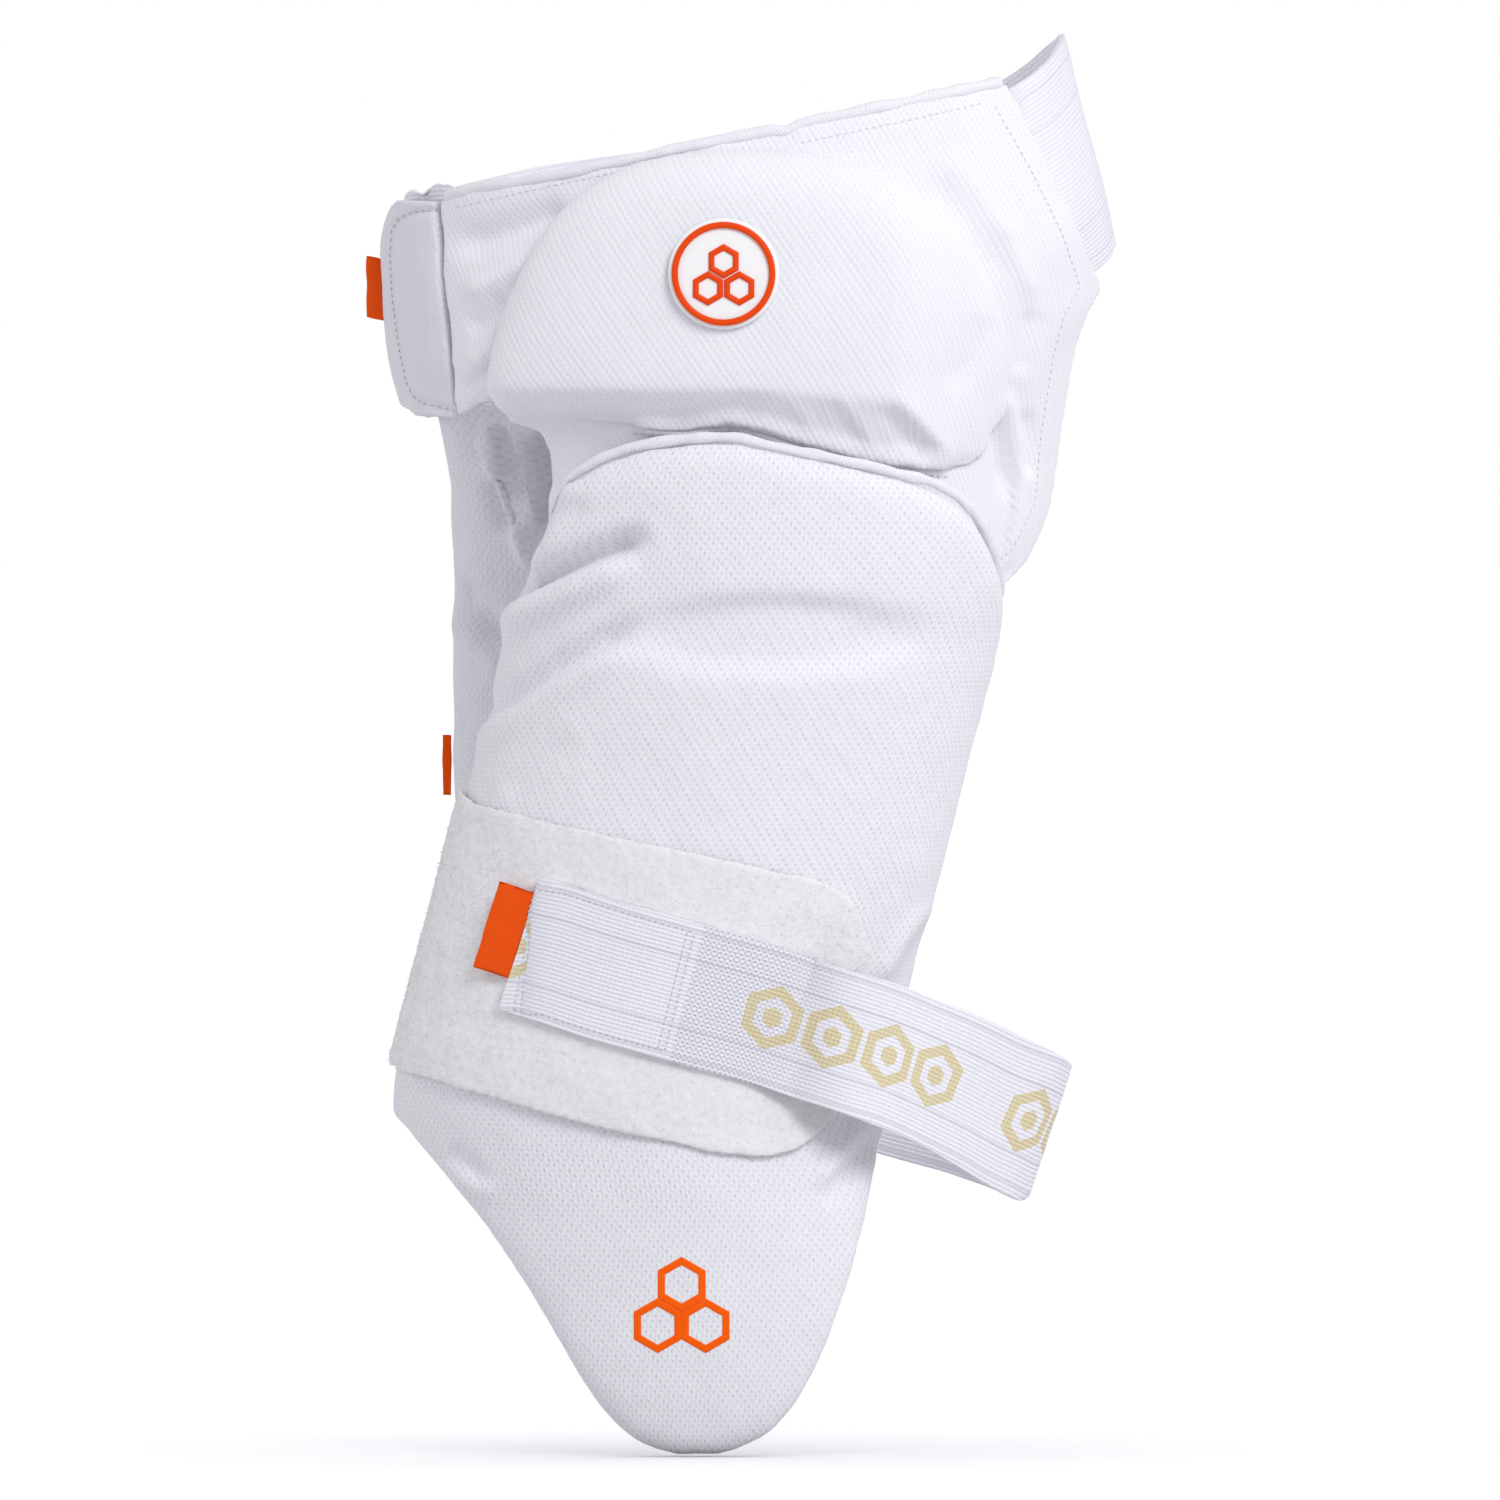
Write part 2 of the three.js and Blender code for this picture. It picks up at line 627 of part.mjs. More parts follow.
// Hip pad: a dome with a straight lower side, on the yoke.
// left and right in hip pad half widths, down in hip pad heights.
const hipPadTable = makeTable(['down', 'left', 'right'], [
  [0.000, -0.12, 0.14],
  [0.012, -0.25, 0.23],
  [0.030, -0.375, 0.34],
  [0.070, -0.50, 0.47],
  [0.120, -0.60, 0.575],
  [0.180, -0.68, 0.66],
  [0.250, -0.755, 0.745],
  [0.340, -0.82, 0.835],
  [0.450, -0.885, 0.91],
  [0.560, -0.935, 0.96],
  [0.680, -0.975, 0.995],
  [0.800, -1.00, 1.00],
  [0.890, -1.00, 0.99],
  [0.950, -0.975, 0.965],
  [0.985, -0.935, 0.93],
  [1.000, -0.88, 0.88],
]);

const hipPadTop = hipPadBottom + hipPadHeight;
const hipPadStand = 2.5 * clearance;
const hipPadHeights = hipPadTable.places.map((place) => hipPadTop - place * hipPadHeight);

function hipPadEdges(height) {
  const place = (hipPadTop - height) / hipPadHeight;
  return ['left', 'right'].map((side) => hipPadHalfWidth * hipPadTable.read(side, place));
}

const hipPadOutline = [
  ...hipPadHeights.map((height) => new THREE.Vector2(hipPadEdges(height)[1], height)),
  ...hipPadHeights.slice().reverse().map((height) => new THREE.Vector2(hipPadEdges(height)[0], height)),
];

function hipPadFace(x, height) {
  const distance = edgeDistance(hipPadOutline, x, height);
  const rise = seamThickness + roundedRise(distance, hipPadEdge, hipPadRise - seamThickness);
  return hipPoint(x, height, beltThickness + hipPadStand + rise);
}

function buildHipPad() {
  const spread = (u, height) => {
    const [left, right] = hipPadEdges(height);
    return THREE.MathUtils.lerp(left, right, u);
  };
  const outer = (u, height) => hipPadFace(spread(u, height), height);
  const inner = (u, height) => hipPoint(spread(u, height), height, beltThickness + hipPadStand);
  return wall(endSteps(20), hipPadHeights, outer, inner);
}

addPiece('hip_pad', buildHipPad(), colours.cover);

// Badge: a moulded disc with a raised ring, flat on the crown of the hip pad
const badgeX = -0.095 * hipPadHalfWidth;
const badgeHeight = hipPadTop - 0.45 * hipPadHeight;

function lathe(profile, segments) {
  return new THREE.LatheGeometry(profile.map(([r, z]) => new THREE.Vector2(r, z)), segments);
}

function addBadgePiece(name, geometry, colour, stand) {
  const step = 2;
  const crown = hipPadFace(badgeX, badgeHeight);
  const across = hipPadFace(badgeX + step, badgeHeight).sub(hipPadFace(badgeX - step, badgeHeight));
  const up = hipPadFace(badgeX, badgeHeight + step).sub(hipPadFace(badgeX, badgeHeight - step));
  const out = across.cross(up).normalize();
  const piece = addPiece(name, geometry, colour);
  piece.quaternion.setFromUnitVectors(new THREE.Vector3(0, 1, 0), out);
  piece.position.copy(crown.addScaledVector(out, stand));
  return piece;
}

const badgeRadius = badgeDiameter / 2;
const discProfile = [
  [0, 0],
  [badgeRadius - 0.5, 0],
  [badgeRadius, 0.6],
  [badgeRadius, badgeThickness - 0.8],
  [badgeRadius - 0.8, badgeThickness],
  [0, badgeThickness],
];
const ringProfile = [
  [badgeRadius - badgeRingWidth - 1, 0],
  [badgeRadius - 1, 0],
  [badgeRadius - 1.4, badgeRingRise],
  [badgeRadius - badgeRingWidth - 0.6, badgeRingRise],
  [badgeRadius - badgeRingWidth - 1, 0],
];
addBadgePiece('badge_disc', lathe(discProfile, 32), colours.whiteRubber, clearance + 0.3);
const ringStand = clearance + 0.3 + badgeThickness + clearance;
addBadgePiece('badge_ring', lathe(ringProfile, 32), colours.orangeRubber, ringStand);

// Inner guard: hangs from the inside of the waist elastic at the closing side.
// down in guard lengths; middle in waist half widths; half in guard half widths; back and deep
// in guard half depths; left and right in degrees are the edges' angles.
const guardTable = makeTable(['down', 'middle', 'half', 'back', 'deep', 'left', 'right'], [
  [0.00, -0.472, 0.838, 0.55, 0.80, -70, 20],
  [0.02, -0.472, 0.838, 0.56, 0.80, -88, 32],
  [0.06, -0.458, 0.850, 0.64, 0.82, -98, 45],
  [0.12, -0.383, 0.955, 0.90, 0.90, -98, 62],
  [0.20, -0.347, 1.000, 1.20, 0.95, -98, 76],
  [0.30, -0.343, 1.000, 1.55, 1.00, -97, 86],
  [0.42, -0.343, 1.000, 1.75, 1.00, -97, 90],
  [0.55, -0.343, 1.000, 1.80, 1.00, -97, 92],
  [0.68, -0.343, 0.995, 1.80, 0.98, -95, 90],
  [0.80, -0.334, 0.980, 1.80, 0.96, -84, 80],
  [0.88, -0.325, 0.960, 1.80, 0.95, -68, 66],
  [0.94, -0.320, 0.950, 1.80, 0.94, -51, 50],
  [0.98, -0.316, 0.940, 1.80, 0.94, -34, 34],
  [1.00, -0.316, 0.940, 1.80, 0.94, -16, 16],
]);

const guardTop = -0.235 * yokeHeight;
const guardHeights = guardTable.places.map((place) => guardTop - place * guardLength);
const guardPlace = (height) => (guardTop - height) / guardLength;

function guardRing(height) {
  const place = guardPlace(height);
  return {
    middleX: waistHalfWidth * guardTable.read('middle', place),
    middleY: guardHalfDepth * guardTable.read('back', place),
    halfX: guardHalfWidth * guardTable.read('half', place),
    halfY: guardHalfDepth * guardTable.read('deep', place),
    squareness: 2,
  };
}

const guardEdges = (height) => ['left', 'right'].map(
  (side) => THREE.MathUtils.degToRad(guardTable.read(side, guardPlace(height))),
);
const guardRadius = (guardHalfWidth + guardHalfDepth) / 2;
const guardOutline = [
  ...guardHeights.map((height) => new THREE.Vector2(guardRadius * guardEdges(height)[1], height)),
  ...guardHeights.slice().reverse().map(
    (height) => new THREE.Vector2(guardRadius * guardEdges(height)[0], height),
  ),
];

function buildGuard() {
  const place = (u, height, sign) => {
    const [left, right] = guardEdges(height);
    const angle = THREE.MathUtils.lerp(left, right, u);
    const distance = edgeDistance(guardOutline, guardRadius * angle, height);
    const full = (guardThickness - seamThickness) / 2;
    const half = seamThickness / 2 + roundedRise(distance, guardThickness * 0.8, full);
    return offForm(guardRing, angle, height, sign * half);
  };
  return wall(endSteps(16), guardHeights, (u, h) => place(u, h, 1), (u, h) => place(u, h, -1));
}

addPiece('inner_guard', buildGuard(), colours.cover);

// Elastic loop of the inner guard: sewn inside both of its edges, round the back of the leg
function buildGuardStrap() {
  const middleHeight = guardTop - 0.56 * guardLength;
  const inset = guardThickness / 2 + 2 * clearance + strapThickness;
  const face = (lift) => (share, turn) => {
    const height = middleHeight + (share - 0.5) * guardStrapWidth;
    return offForm(guardRing, THREE.MathUtils.degToRad(turn), height, -inset + lift);
  };
  const turns = evenSteps(30).map((s) => THREE.MathUtils.lerp(76, 284, s));
  return wall([0, 0.5, 1], turns, face(strapThickness), face(0));
}

addPiece('inner_strap', buildGuardStrap(), colours.elastic);

// Label at the inner guard's edge
function buildGuardLabel() {
  const middleHeight = guardTop - 0.59 * guardLength;
  const side = onForm(guardRing, -Math.PI / 2, middleHeight);
  const near = side.x - guardThickness / 2 - clearance;
  const reach = 3;
  const place = (shift) => (u, v) => new THREE.Vector3(
    near - reach * u,
    side.y + shift,
    middleHeight + labelLength * (0.5 - v),
  );
  return wall(evenSteps(1), evenSteps(2), place(0), place(labelThickness));
}

addPiece('inner_tag', buildGuardLabel(), colours.orangeLabel);

export default guard;
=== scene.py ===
import math
import random
import bmesh
import bpy
import numpy as np
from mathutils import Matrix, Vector, noise
from mathutils.bvhtree import BVHTree


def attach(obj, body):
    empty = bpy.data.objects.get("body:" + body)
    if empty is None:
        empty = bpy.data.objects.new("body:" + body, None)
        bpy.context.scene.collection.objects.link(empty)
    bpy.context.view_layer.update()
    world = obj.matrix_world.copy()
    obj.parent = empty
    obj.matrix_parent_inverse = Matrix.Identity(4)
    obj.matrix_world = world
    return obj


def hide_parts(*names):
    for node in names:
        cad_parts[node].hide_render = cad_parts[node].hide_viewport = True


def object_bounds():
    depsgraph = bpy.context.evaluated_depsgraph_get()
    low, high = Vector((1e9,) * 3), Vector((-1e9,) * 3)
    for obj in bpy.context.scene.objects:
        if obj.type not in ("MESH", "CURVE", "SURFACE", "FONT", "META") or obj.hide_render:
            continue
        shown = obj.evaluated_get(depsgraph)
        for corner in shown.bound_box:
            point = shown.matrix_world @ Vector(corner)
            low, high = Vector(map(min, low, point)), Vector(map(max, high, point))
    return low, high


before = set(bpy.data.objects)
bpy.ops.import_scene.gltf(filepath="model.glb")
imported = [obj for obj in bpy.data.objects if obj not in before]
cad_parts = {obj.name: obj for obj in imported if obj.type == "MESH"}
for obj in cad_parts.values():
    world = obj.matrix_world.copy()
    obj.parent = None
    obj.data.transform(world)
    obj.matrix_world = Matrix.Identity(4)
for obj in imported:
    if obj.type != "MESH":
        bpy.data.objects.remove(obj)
cad_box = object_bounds()
MM = 0.001
MATH = "ShaderNodeMath"


# Studio. The guard stands on its tip on a white table under an even sky. One large soft lamp
# stands at the front right, so folds and undersides fall into soft shade towards the left.
def linear(hex_colour):
    """An sRGB hex colour as linear red, green, blue and alpha."""
    shares = [int(hex_colour[i : i + 2], 16) / 255 for i in (0, 2, 4)]
    return [s / 12.92 if s <= 0.04045 else ((s + 0.055) / 1.055) ** 2.4 for s in shares] + [1.0]


def add(tree, kind, inputs=(), **settings):
    """Adds a node to a tree. The values in inputs go to its inputs in their order; a setting is
    one of its properties or, by name, one of its inputs. An input takes a number, a colour, a
    socket to link, or a node, whose first output is linked."""
    node = tree.nodes.new(kind)
    given = list(enumerate(inputs))
    for name, value in settings.items():
        if hasattr(node, name):
            setattr(node, name, value)
        else:
            given.append((name.replace("_", " "), value))
    for key, value in given:
        if isinstance(value, bpy.types.Node):
            value = value.outputs[0]
        if isinstance(value, bpy.types.NodeSocket):
            tree.links.new(value, node.inputs[key])
        else:
            node.inputs[key].default_value = value
    return node


def new_material(name):
    """A material with an empty node tree."""
    material = bpy.data.materials.new(name)
    material.use_nodes = True
    material.node_tree.nodes.clear()
    return material, material.node_tree


table_half = 25.0
table_height = cad_box[0].z - 0.5 * MM
table_corners = [(-1, -1), (1, -1), (1, 1), (-1, 1)]
table_points = [(x * table_half, y * table_half, table_height) for x, y in table_corners]
table_mesh = bpy.data.meshes.new("white_table")
table_mesh.from_pydata(table_points, [], [(0, 1, 2, 3)])
table = bpy.data.objects.new("white_table", table_mesh)
bpy.context.scene.collection.objects.link(table)
# Matt white. The camera sees it almost pure white; to the guard it throws back less light.
table_paint, tree = new_material("white_studio_table")
seen = add(tree, "ShaderNodeBsdfDiffuse", Color=linear("DCDCDE"))
glow = add(tree, "ShaderNodeEmission", Color=linear("FFFFFF"), Strength=0.17)
lit = add(tree, "ShaderNodeAddShader", [seen, glow])
dim = add(tree, "ShaderNodeBsdfDiffuse", Color=linear("C4C4C6"))
ray = add(tree, "ShaderNodeLightPath").outputs["Is Camera Ray"]
both = add(tree, "ShaderNodeMixShader", [ray, dim, lit])
add(tree, "ShaderNodeOutputMaterial", [both])
table_mesh.materials.append(table_paint)

middle = (cad_box[0] + cad_box[1]) / 2
lamp_distance = 3.0
lamp_direction = Vector((0.35, -0.72, 0.53)).normalized()
key_light = bpy.data.lights.new("soft_lamp", "AREA")
key_light.shape = "DISK"
key_light.size = 1.3
key_light.energy = 42
key_lamp = bpy.data.objects.new("soft_lamp", key_light)
key_lamp.location = middle + lamp_distance * lamp_direction
key_lamp.rotation_euler = (middle - key_lamp.location).to_track_quat("-Z", "Y").to_euler()
bpy.context.scene.collection.objects.link(key_lamp)
# The lamp's light is kept off the table, as a flag does in a studio.
lamp_reach = bpy.data.collections.new("lit_by_lamp")
lamp_reach.objects.link(table)
key_lamp.light_linking.receiver_collection = lamp_reach
lamp_reach.collection_objects[0].light_linking.link_state = "EXCLUDE"
# A soft light from straight above falls on the table alone, past the belt and the strap, and
# makes the shade at the thigh pad's tip.
table_light = bpy.data.lights.new("table_light", "SUN")
table_light.energy = 1.9
table_light.angle = math.radians(72)
table_lamp = bpy.data.objects.new("table_light", table_light)
bpy.context.scene.collection.objects.link(table_lamp)
table_reach = bpy.data.collections.new("lit_from_above")
table_reach.objects.link(table)
table_lamp.light_linking.receiver_collection = table_reach

# The camera sees a white sky. The guard's own light from it is weaker, stronger from the two
# sides than from the front and back, and a little stronger from above.
sky = bpy.data.worlds.new("pale_sky")
bpy.context.scene.world = sky
sky.use_nodes = True
tree = sky.node_tree
tree.nodes.clear()
direction = add(tree, "ShaderNodeTexCoord").outputs["Generated"]
right, _, up = add(tree, "ShaderNodeSeparateXYZ", [direction]).outputs
strength = add(tree, MATH, [right, 1.1, 0.03], operation="MULTIPLY_ADD")
strength = add(tree, MATH, [right, strength, 0.26], operation="MULTIPLY_ADD")
strength = add(tree, MATH, [up, 0.15, strength], operation="MULTIPLY_ADD")
fill = add(tree, "ShaderNodeBackground", Color=linear("FDFDFF"), Strength=strength)
white = add(tree, "ShaderNodeBackground", Color=linear("FFFFFF"), Strength=1.0)
ray = add(tree, "ShaderNodeLightPath").outputs["Is Camera Ray"]
both = add(tree, "ShaderNodeMixShader", [ray, fill, white])
add(tree, "ShaderNodeOutputWorld", [both])

# The picture is 540 mm wide where the guard stands; the lens is long, as in a catalogue photo.
picture_width = 540 * MM
camera_distance = 8.0
camera_rise = math.radians(1.2)
aim = Vector((0.0, -85 * MM, -181.8 * MM))
camera_data = bpy.data.cameras.new("camera")
camera_data.sensor_width = 36
camera_data.lens = camera_data.sensor_width * camera_distance / picture_width
camera_data.clip_end = 100
camera = bpy.data.objects.new("camera", camera_data)
camera.location = aim + camera_distance * Vector((0, -math.cos(camera_rise), math.sin(camera_rise)))
camera.rotation_euler = (aim - camera.location).to_track_quat("-Z", "Y").to_euler()
bpy.context.scene.collection.objects.link(camera)
bpy.context.scene.camera = camera
bpy.context.scene.view_settings.view_transform = "Standard"


# Thigh pad. A long foam pad, about 14 mm thick, in a white polyester knit cover. The foam is
# moulded round the leg; the cover is pulled over it and creases where the leg bends it.
def apply(piece, kind, **settings):
    """Adds a modifier to a piece and applies it."""
    bpy.ops.object.select_all(action="DESELECT")
    piece.select_set(True)
    bpy.context.view_layer.objects.active = piece
    modifier = piece.modifiers.new(kind.lower(), kind)
    for name, value in settings.items():
        setattr(modifier, name, value)
    bpy.ops.object.modifier_apply(modifier=modifier.name)


def copy_of(node, name, rim_angle=None):
    """A free copy of a CAD solid with its triangles merged and joined to four-sided faces.
    Edges sharper than rim_angle, in degrees, stay sharp when the copy is subdivided."""
    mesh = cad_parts[node].data.copy()
    mesh.materials.clear()
    piece = bpy.data.objects.new(name, mesh)
    bpy.context.scene.collection.objects.link(piece)
    shape = bmesh.new()
    shape.from_mesh(mesh)
    bmesh.ops.remove_doubles(shape, verts=shape.verts, dist=0.02 * MM)
    bmesh.ops.join_triangles(
        shape, faces=shape.faces, angle_face_threshold=math.radians(40),
        angle_shape_threshold=math.radians(60),
    )
    bmesh.ops.recalc_face_normals(shape, faces=shape.faces)
    if rim_angle:
        layer = shape.edges.layers.float.new("crease_edge")
        for edge in shape.edges:
            if len(edge.link_faces) == 2 and edge.calc_face_angle() > math.radians(rim_angle):
                edge[layer] = 1.0
    shape.to_mesh(mesh)
    shape.free()
    return piece


def soft_copy(node, name, grain):
    """A copy of a CAD solid as one even soft skin, with faces about one grain wide."""
    piece = copy_of(node, name, 50)
    apply(piece, "SUBSURF", levels=2, render_levels=2)
    apply(piece, "REMESH", mode="VOXEL", voxel_size=grain * MM)
    apply(piece, "SMOOTH", factor=0.5, iterations=6)
    return piece


def places(piece):
    """The piece's points as an array of millimetres."""
    flat = np.zeros(len(piece.data.vertices) * 3, np.float32)
    piece.data.vertices.foreach_get("co", flat)
    return flat.reshape(-1, 3).astype(float) / MM


def facings(piece):
    """The directions that the piece's skin faces at its points."""
    flat = np.zeros(len(piece.data.vertices) * 3, np.float32)
    piece.data.vertices.foreach_get("normal", flat)
    return flat.reshape(-1, 3).astype(float)


def move_to(piece, points):
    """Sets the piece's points, given in millimetres."""
    piece.data.vertices.foreach_set("co", (points * MM).astype(np.float32).ravel())
    piece.data.update()


def ramp(values, start, end):
    """0 up to a start, 1 from an end on and evenly rising between; the end may be lower."""
    return np.clip((values - start) / (end - start), 0, 1)


def eased(share):
    """A share from 0 to 1 that leaves 0 and reaches 1 softly."""
    return share * share * (3 - 2 * share)


def towards(normals, facing):
    """1 where the skin looks a given way, give or take 66 degrees, and 0 where it looks aside."""
    return np.clip(normals @ np.array(facing, float) * 2.5, 0, 1)


def from_line(points, stops):
    """Distance in the picture plane from points to a broken line, and the share along it."""
    best = np.full(len(points), 1e9)
    share = np.zeros(len(points))
    lengths = [math.dist(a, b) for a, b in zip(stops, stops[1:])]
    done = 0.0
    for (start, end), length in zip(zip(stops, stops[1:]), lengths):
        a, d = np.array(start), np.array(end) - np.array(start)
        t = np.clip(((points - a) @ d) / max(length**2, 1e-9), 0, 1)
        gap = np.linalg.norm(points - a - t[:, None] * d, axis=1)
        nearer = gap < best
        best = np.where(nearer, gap, best)
        share = np.where(nearer, (done + t * length) / sum(lengths), share)
        done += length
    return best, share


def fold(piece, height, width, stops, fade=0.25, facing=(0, -1, 0), thin=False):
    """Raises a ridge, or sinks a dent where height is negative, along a line in the picture.
    Heights and widths are millimetres. The fold fades out over a share of its length. In a
    thin piece both faces move together, straight out from the body's middle."""
    points, normals = places(piece), facings(piece)
    if thin:
        normals = points * (1, 1, 0)
        normals /= np.linalg.norm(normals, axis=1)[:, None]
    gap, share = from_line(points[:, [0, 2]], stops)
    ends = eased(ramp(np.minimum(share, 1 - share), 0, fade))
    amount = height * np.exp(-((gap / width) ** 2)) * ends * towards(normals, facing)
    move_to(piece, points + normals * amount[:, None])


def ripple(piece, height, size, seed, facing=None):
    """Slow uneven waves in the cover, as any pulled cloth has. height and size are millimetres,
    and each seed gives other waves."""
    points, normals = places(piece), facings(piece)
    shift = Vector((seed * 7.3, seed * 3.1, seed * 5.7))
    waves = np.array([noise.noise(Vector(p) / size + shift) for p in points])
    if facing is not None:
        waves = waves * towards(normals, facing)
    move_to(piece, points + normals * (height * waves)[:, None])


def press_hollow(piece, x, z, half_width, half_height, depth):
    """A shallow hollow with a soft rim, pressed into the front of a pad."""
    points, normals = places(piece), facings(piece)
    away = np.hypot((points[:, 0] - x) / half_width, (points[:, 2] - z) / half_height)
    share = 1 / (1 + np.exp(np.clip((away - 1) * 8, -40, 40)))
    sink = depth * share * np.clip(-normals[:, 1] * 2, 0, 1)
    move_to(piece, points - normals * sink[:, None])


def store_cloth(piece, flat):
    """Stores where each point lies on the flat cloth, in millimetres."""
    layer = piece.data.attributes.new("cloth", "FLOAT_VECTOR", "POINT")
    layer.data.foreach_set("vector", flat.astype(np.float32).ravel())


def lay_cloth(piece, middle_of, radius):
    """The cloth runs round the body, by turn times radius, and straight up."""
    points = places(piece)
    centre = np.array([middle_of(z) for z in points[:, 2]])
    turn = np.arctan2(points[:, 0] - centre[:, 0], centre[:, 1] - points[:, 1])
    store_cloth(piece, np.stack([turn * radius, points[:, 2], np.zeros(len(points))], axis=1))


def finish_piece(piece, node, material):
    """Smooth shading, material and the frame's calls for one piece."""
    piece.data.materials.clear()
    piece.data.materials.append(material)
    piece.data.shade_smooth()
    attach(piece, "root")
    if node:
        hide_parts(node)


def sine_of(tree, source, pitch, turn=0.0):
    """A sine wave over the cloth with a pitch in millimetres, its ribs turned by degrees."""
    placed = add(tree, "ShaderNodeMapping", [source], Rotation=(0, 0, math.radians(turn)))
    across = add(tree, "ShaderNodeSeparateXYZ", [placed]).outputs[0]
    angle = add(tree, MATH, [across, 2 * math.pi / pitch], operation="MULTIPLY")
    return add(tree, MATH, [angle], operation="SINE")


def knit(name, hex_light, hex_dark, dots, rib_pitch, rib_turn, rib_share, relief):
    """White polyester knit. Matt, with staggered small holes, dots wide and high, and fine
    ribs. The grey in the holes and the rib valleys is painted shade. The stitches are drawn about twice
    their size, so that they show in the picture."""
    material, tree = new_material(name)
    cloth = add(tree, "ShaderNodeAttribute", attribute_name="cloth").outputs["Vector"]
    columns, rows = sine_of(tree, cloth, dots[0]), sine_of(tree, cloth, dots[1], 90)
    holes = add(tree, MATH, [columns, rows], operation="MULTIPLY")
    holes = add(tree, MATH, [holes, 0.0], operation="MAXIMUM")
    holes = add(tree, MATH, [holes, 1.6], operation="POWER")
    ribs = sine_of(tree, cloth, rib_pitch, rib_turn)
    fuzz = add(tree, "ShaderNodeTexNoise", [cloth], Scale=1.1, Detail=3.0)
    height = add(tree, MATH, [ribs, rib_share, fuzz], operation="MULTIPLY_ADD")
    height = add(tree, MATH, [holes, -1.3 * (1 - rib_share), height], operation="MULTIPLY_ADD")
    bump = add(tree, "ShaderNodeBump", Height=height, Strength=1.0, Distance=relief * MM)
    # Painted shade: the holes and the rib valleys are darkened in the colour.
    shade = add(tree, MATH, [holes, 1 - 0.6 * rib_share], operation="MULTIPLY")
    shade = add(tree, MATH, [ribs, -0.3 * rib_share, shade], operation="MULTIPLY_ADD")
    colour = add(tree, "ShaderNodeMix", [shade], data_type="RGBA", clamp_factor=True)
    colour.inputs[6].default_value = linear(hex_light)
    colour.inputs[7].default_value = linear(hex_dark)
    shader = add(
        tree, "ShaderNodeBsdfPrincipled", Base_Color=colour.outputs[2], Normal=bump,
        Roughness=0.92, Specular_IOR_Level=0.2, Sheen_Weight=0.12, Sheen_Roughness=0.6,
    )
    add(tree, "ShaderNodeOutputMaterial", [shader])
    return material


def thigh_middle(z):
    """The leg's middle inside the thigh pad at a height, in millimetres."""
    return np.interp(z, [-434, -344, -320, -300, -163, -127], [-19, -30, -38, -39, -4.5, 3]), -53.5


# Birdseye: matt white with close rows of small holes, which show as fine grey dots of painted shade.
thigh_knit = knit(
    "thigh_pad_birdseye_knit", "EDEDF3", "D7D7E1", dots=(3.2, 3.6),
    rib_pitch=1.9, rib_turn=14, rib_share=0.35, relief=0.20,
)
leg_radius = 80
thigh_pad = soft_copy("thigh_pad", "thigh_pad_cover", 1.8)

# Each fold: height, width, then its line across the picture, in millimetres from the origin.
thigh_folds = [
    (-10.4, 4.4, [(-34, -102), (-58, -113), (-96, -130)]),
    (4.4, 5.0, [(-38, -112), (-60, -123), (-96, -140)]),
    (-6.0, 4.0, [(-38, -133), (-66, -150), (-104, -176)]),
    (2.8, 5.0, [(-38, -142), (-66, -158), (-104, -184)]),
    (-1.8, 5.0, [(-56, -92), (-72, -98), (-86, -108)]),
    (1.4, 5.0, [(-60, -84), (-74, -90), (-84, -98)]),
    (-1.2, 5.0, [(-60, -176), (-76, -186), (-90, -200)]),
    (1.8, 3.5, [(66, -236), (55, -250), (44, -268)]),
    (-1.8, 4.0, [(72, -240), (60, -256), (50, -274)]),
    (2.6, 4.0, [(43, -313), (33, -326), (22, -340)]),
    (-2.2, 3.5, [(46, -319), (36, -333), (26, -346)]),
    (-2.0, 3.5, [(-110, -324), (-101, -331), (-94, -338)]),
    (1.2, 3.5, [(-106, -332), (-99, -338), (-90, -343)]),
]
for height, width, stops in thigh_folds:
    to_side = -0.6 if stops[0][0] < 0 else 0.3
    fold(thigh_pad, height, width, stops, facing=(to_side, -0.8, 0))
press_hollow(thigh_pad, x=8.6, z=-140, half_width=48, half_height=13, depth=5.6)
ripple(thigh_pad, 0.9, 34, 1, facing=(0, -1, 0))
ripple(thigh_pad, 0.3, 9, 2)
lay_cloth(thigh_pad, thigh_middle, leg_radius)
finish_piece(thigh_pad, "thigh_pad", thigh_knit)
# Only this pad stands in the way of the light that falls on the table.
table_shade = bpy.data.collections.new("shades_the_table")
table_shade.objects.link(thigh_pad)
table_lamp.light_linking.blocker_collection = table_shade


# Belt and yoke. One layer of padded cloth: a belt at the waist that widens over the hip and
# runs down behind the thigh pad, to which it is sewn. It wrinkles where the body turns.
def waist_middle(z):
    """The body's middle inside the belt, in millimetres."""
    return 0.0, 0.0


def top_dip(points):
    """How far the belt's top edge dips at its front seam, 12.6 mm right of the middle."""
    return 1.5 * np.exp(-(((points[:, 0] - 12.6) / 3.0) ** 2)) * (points[:, 1] < 0)


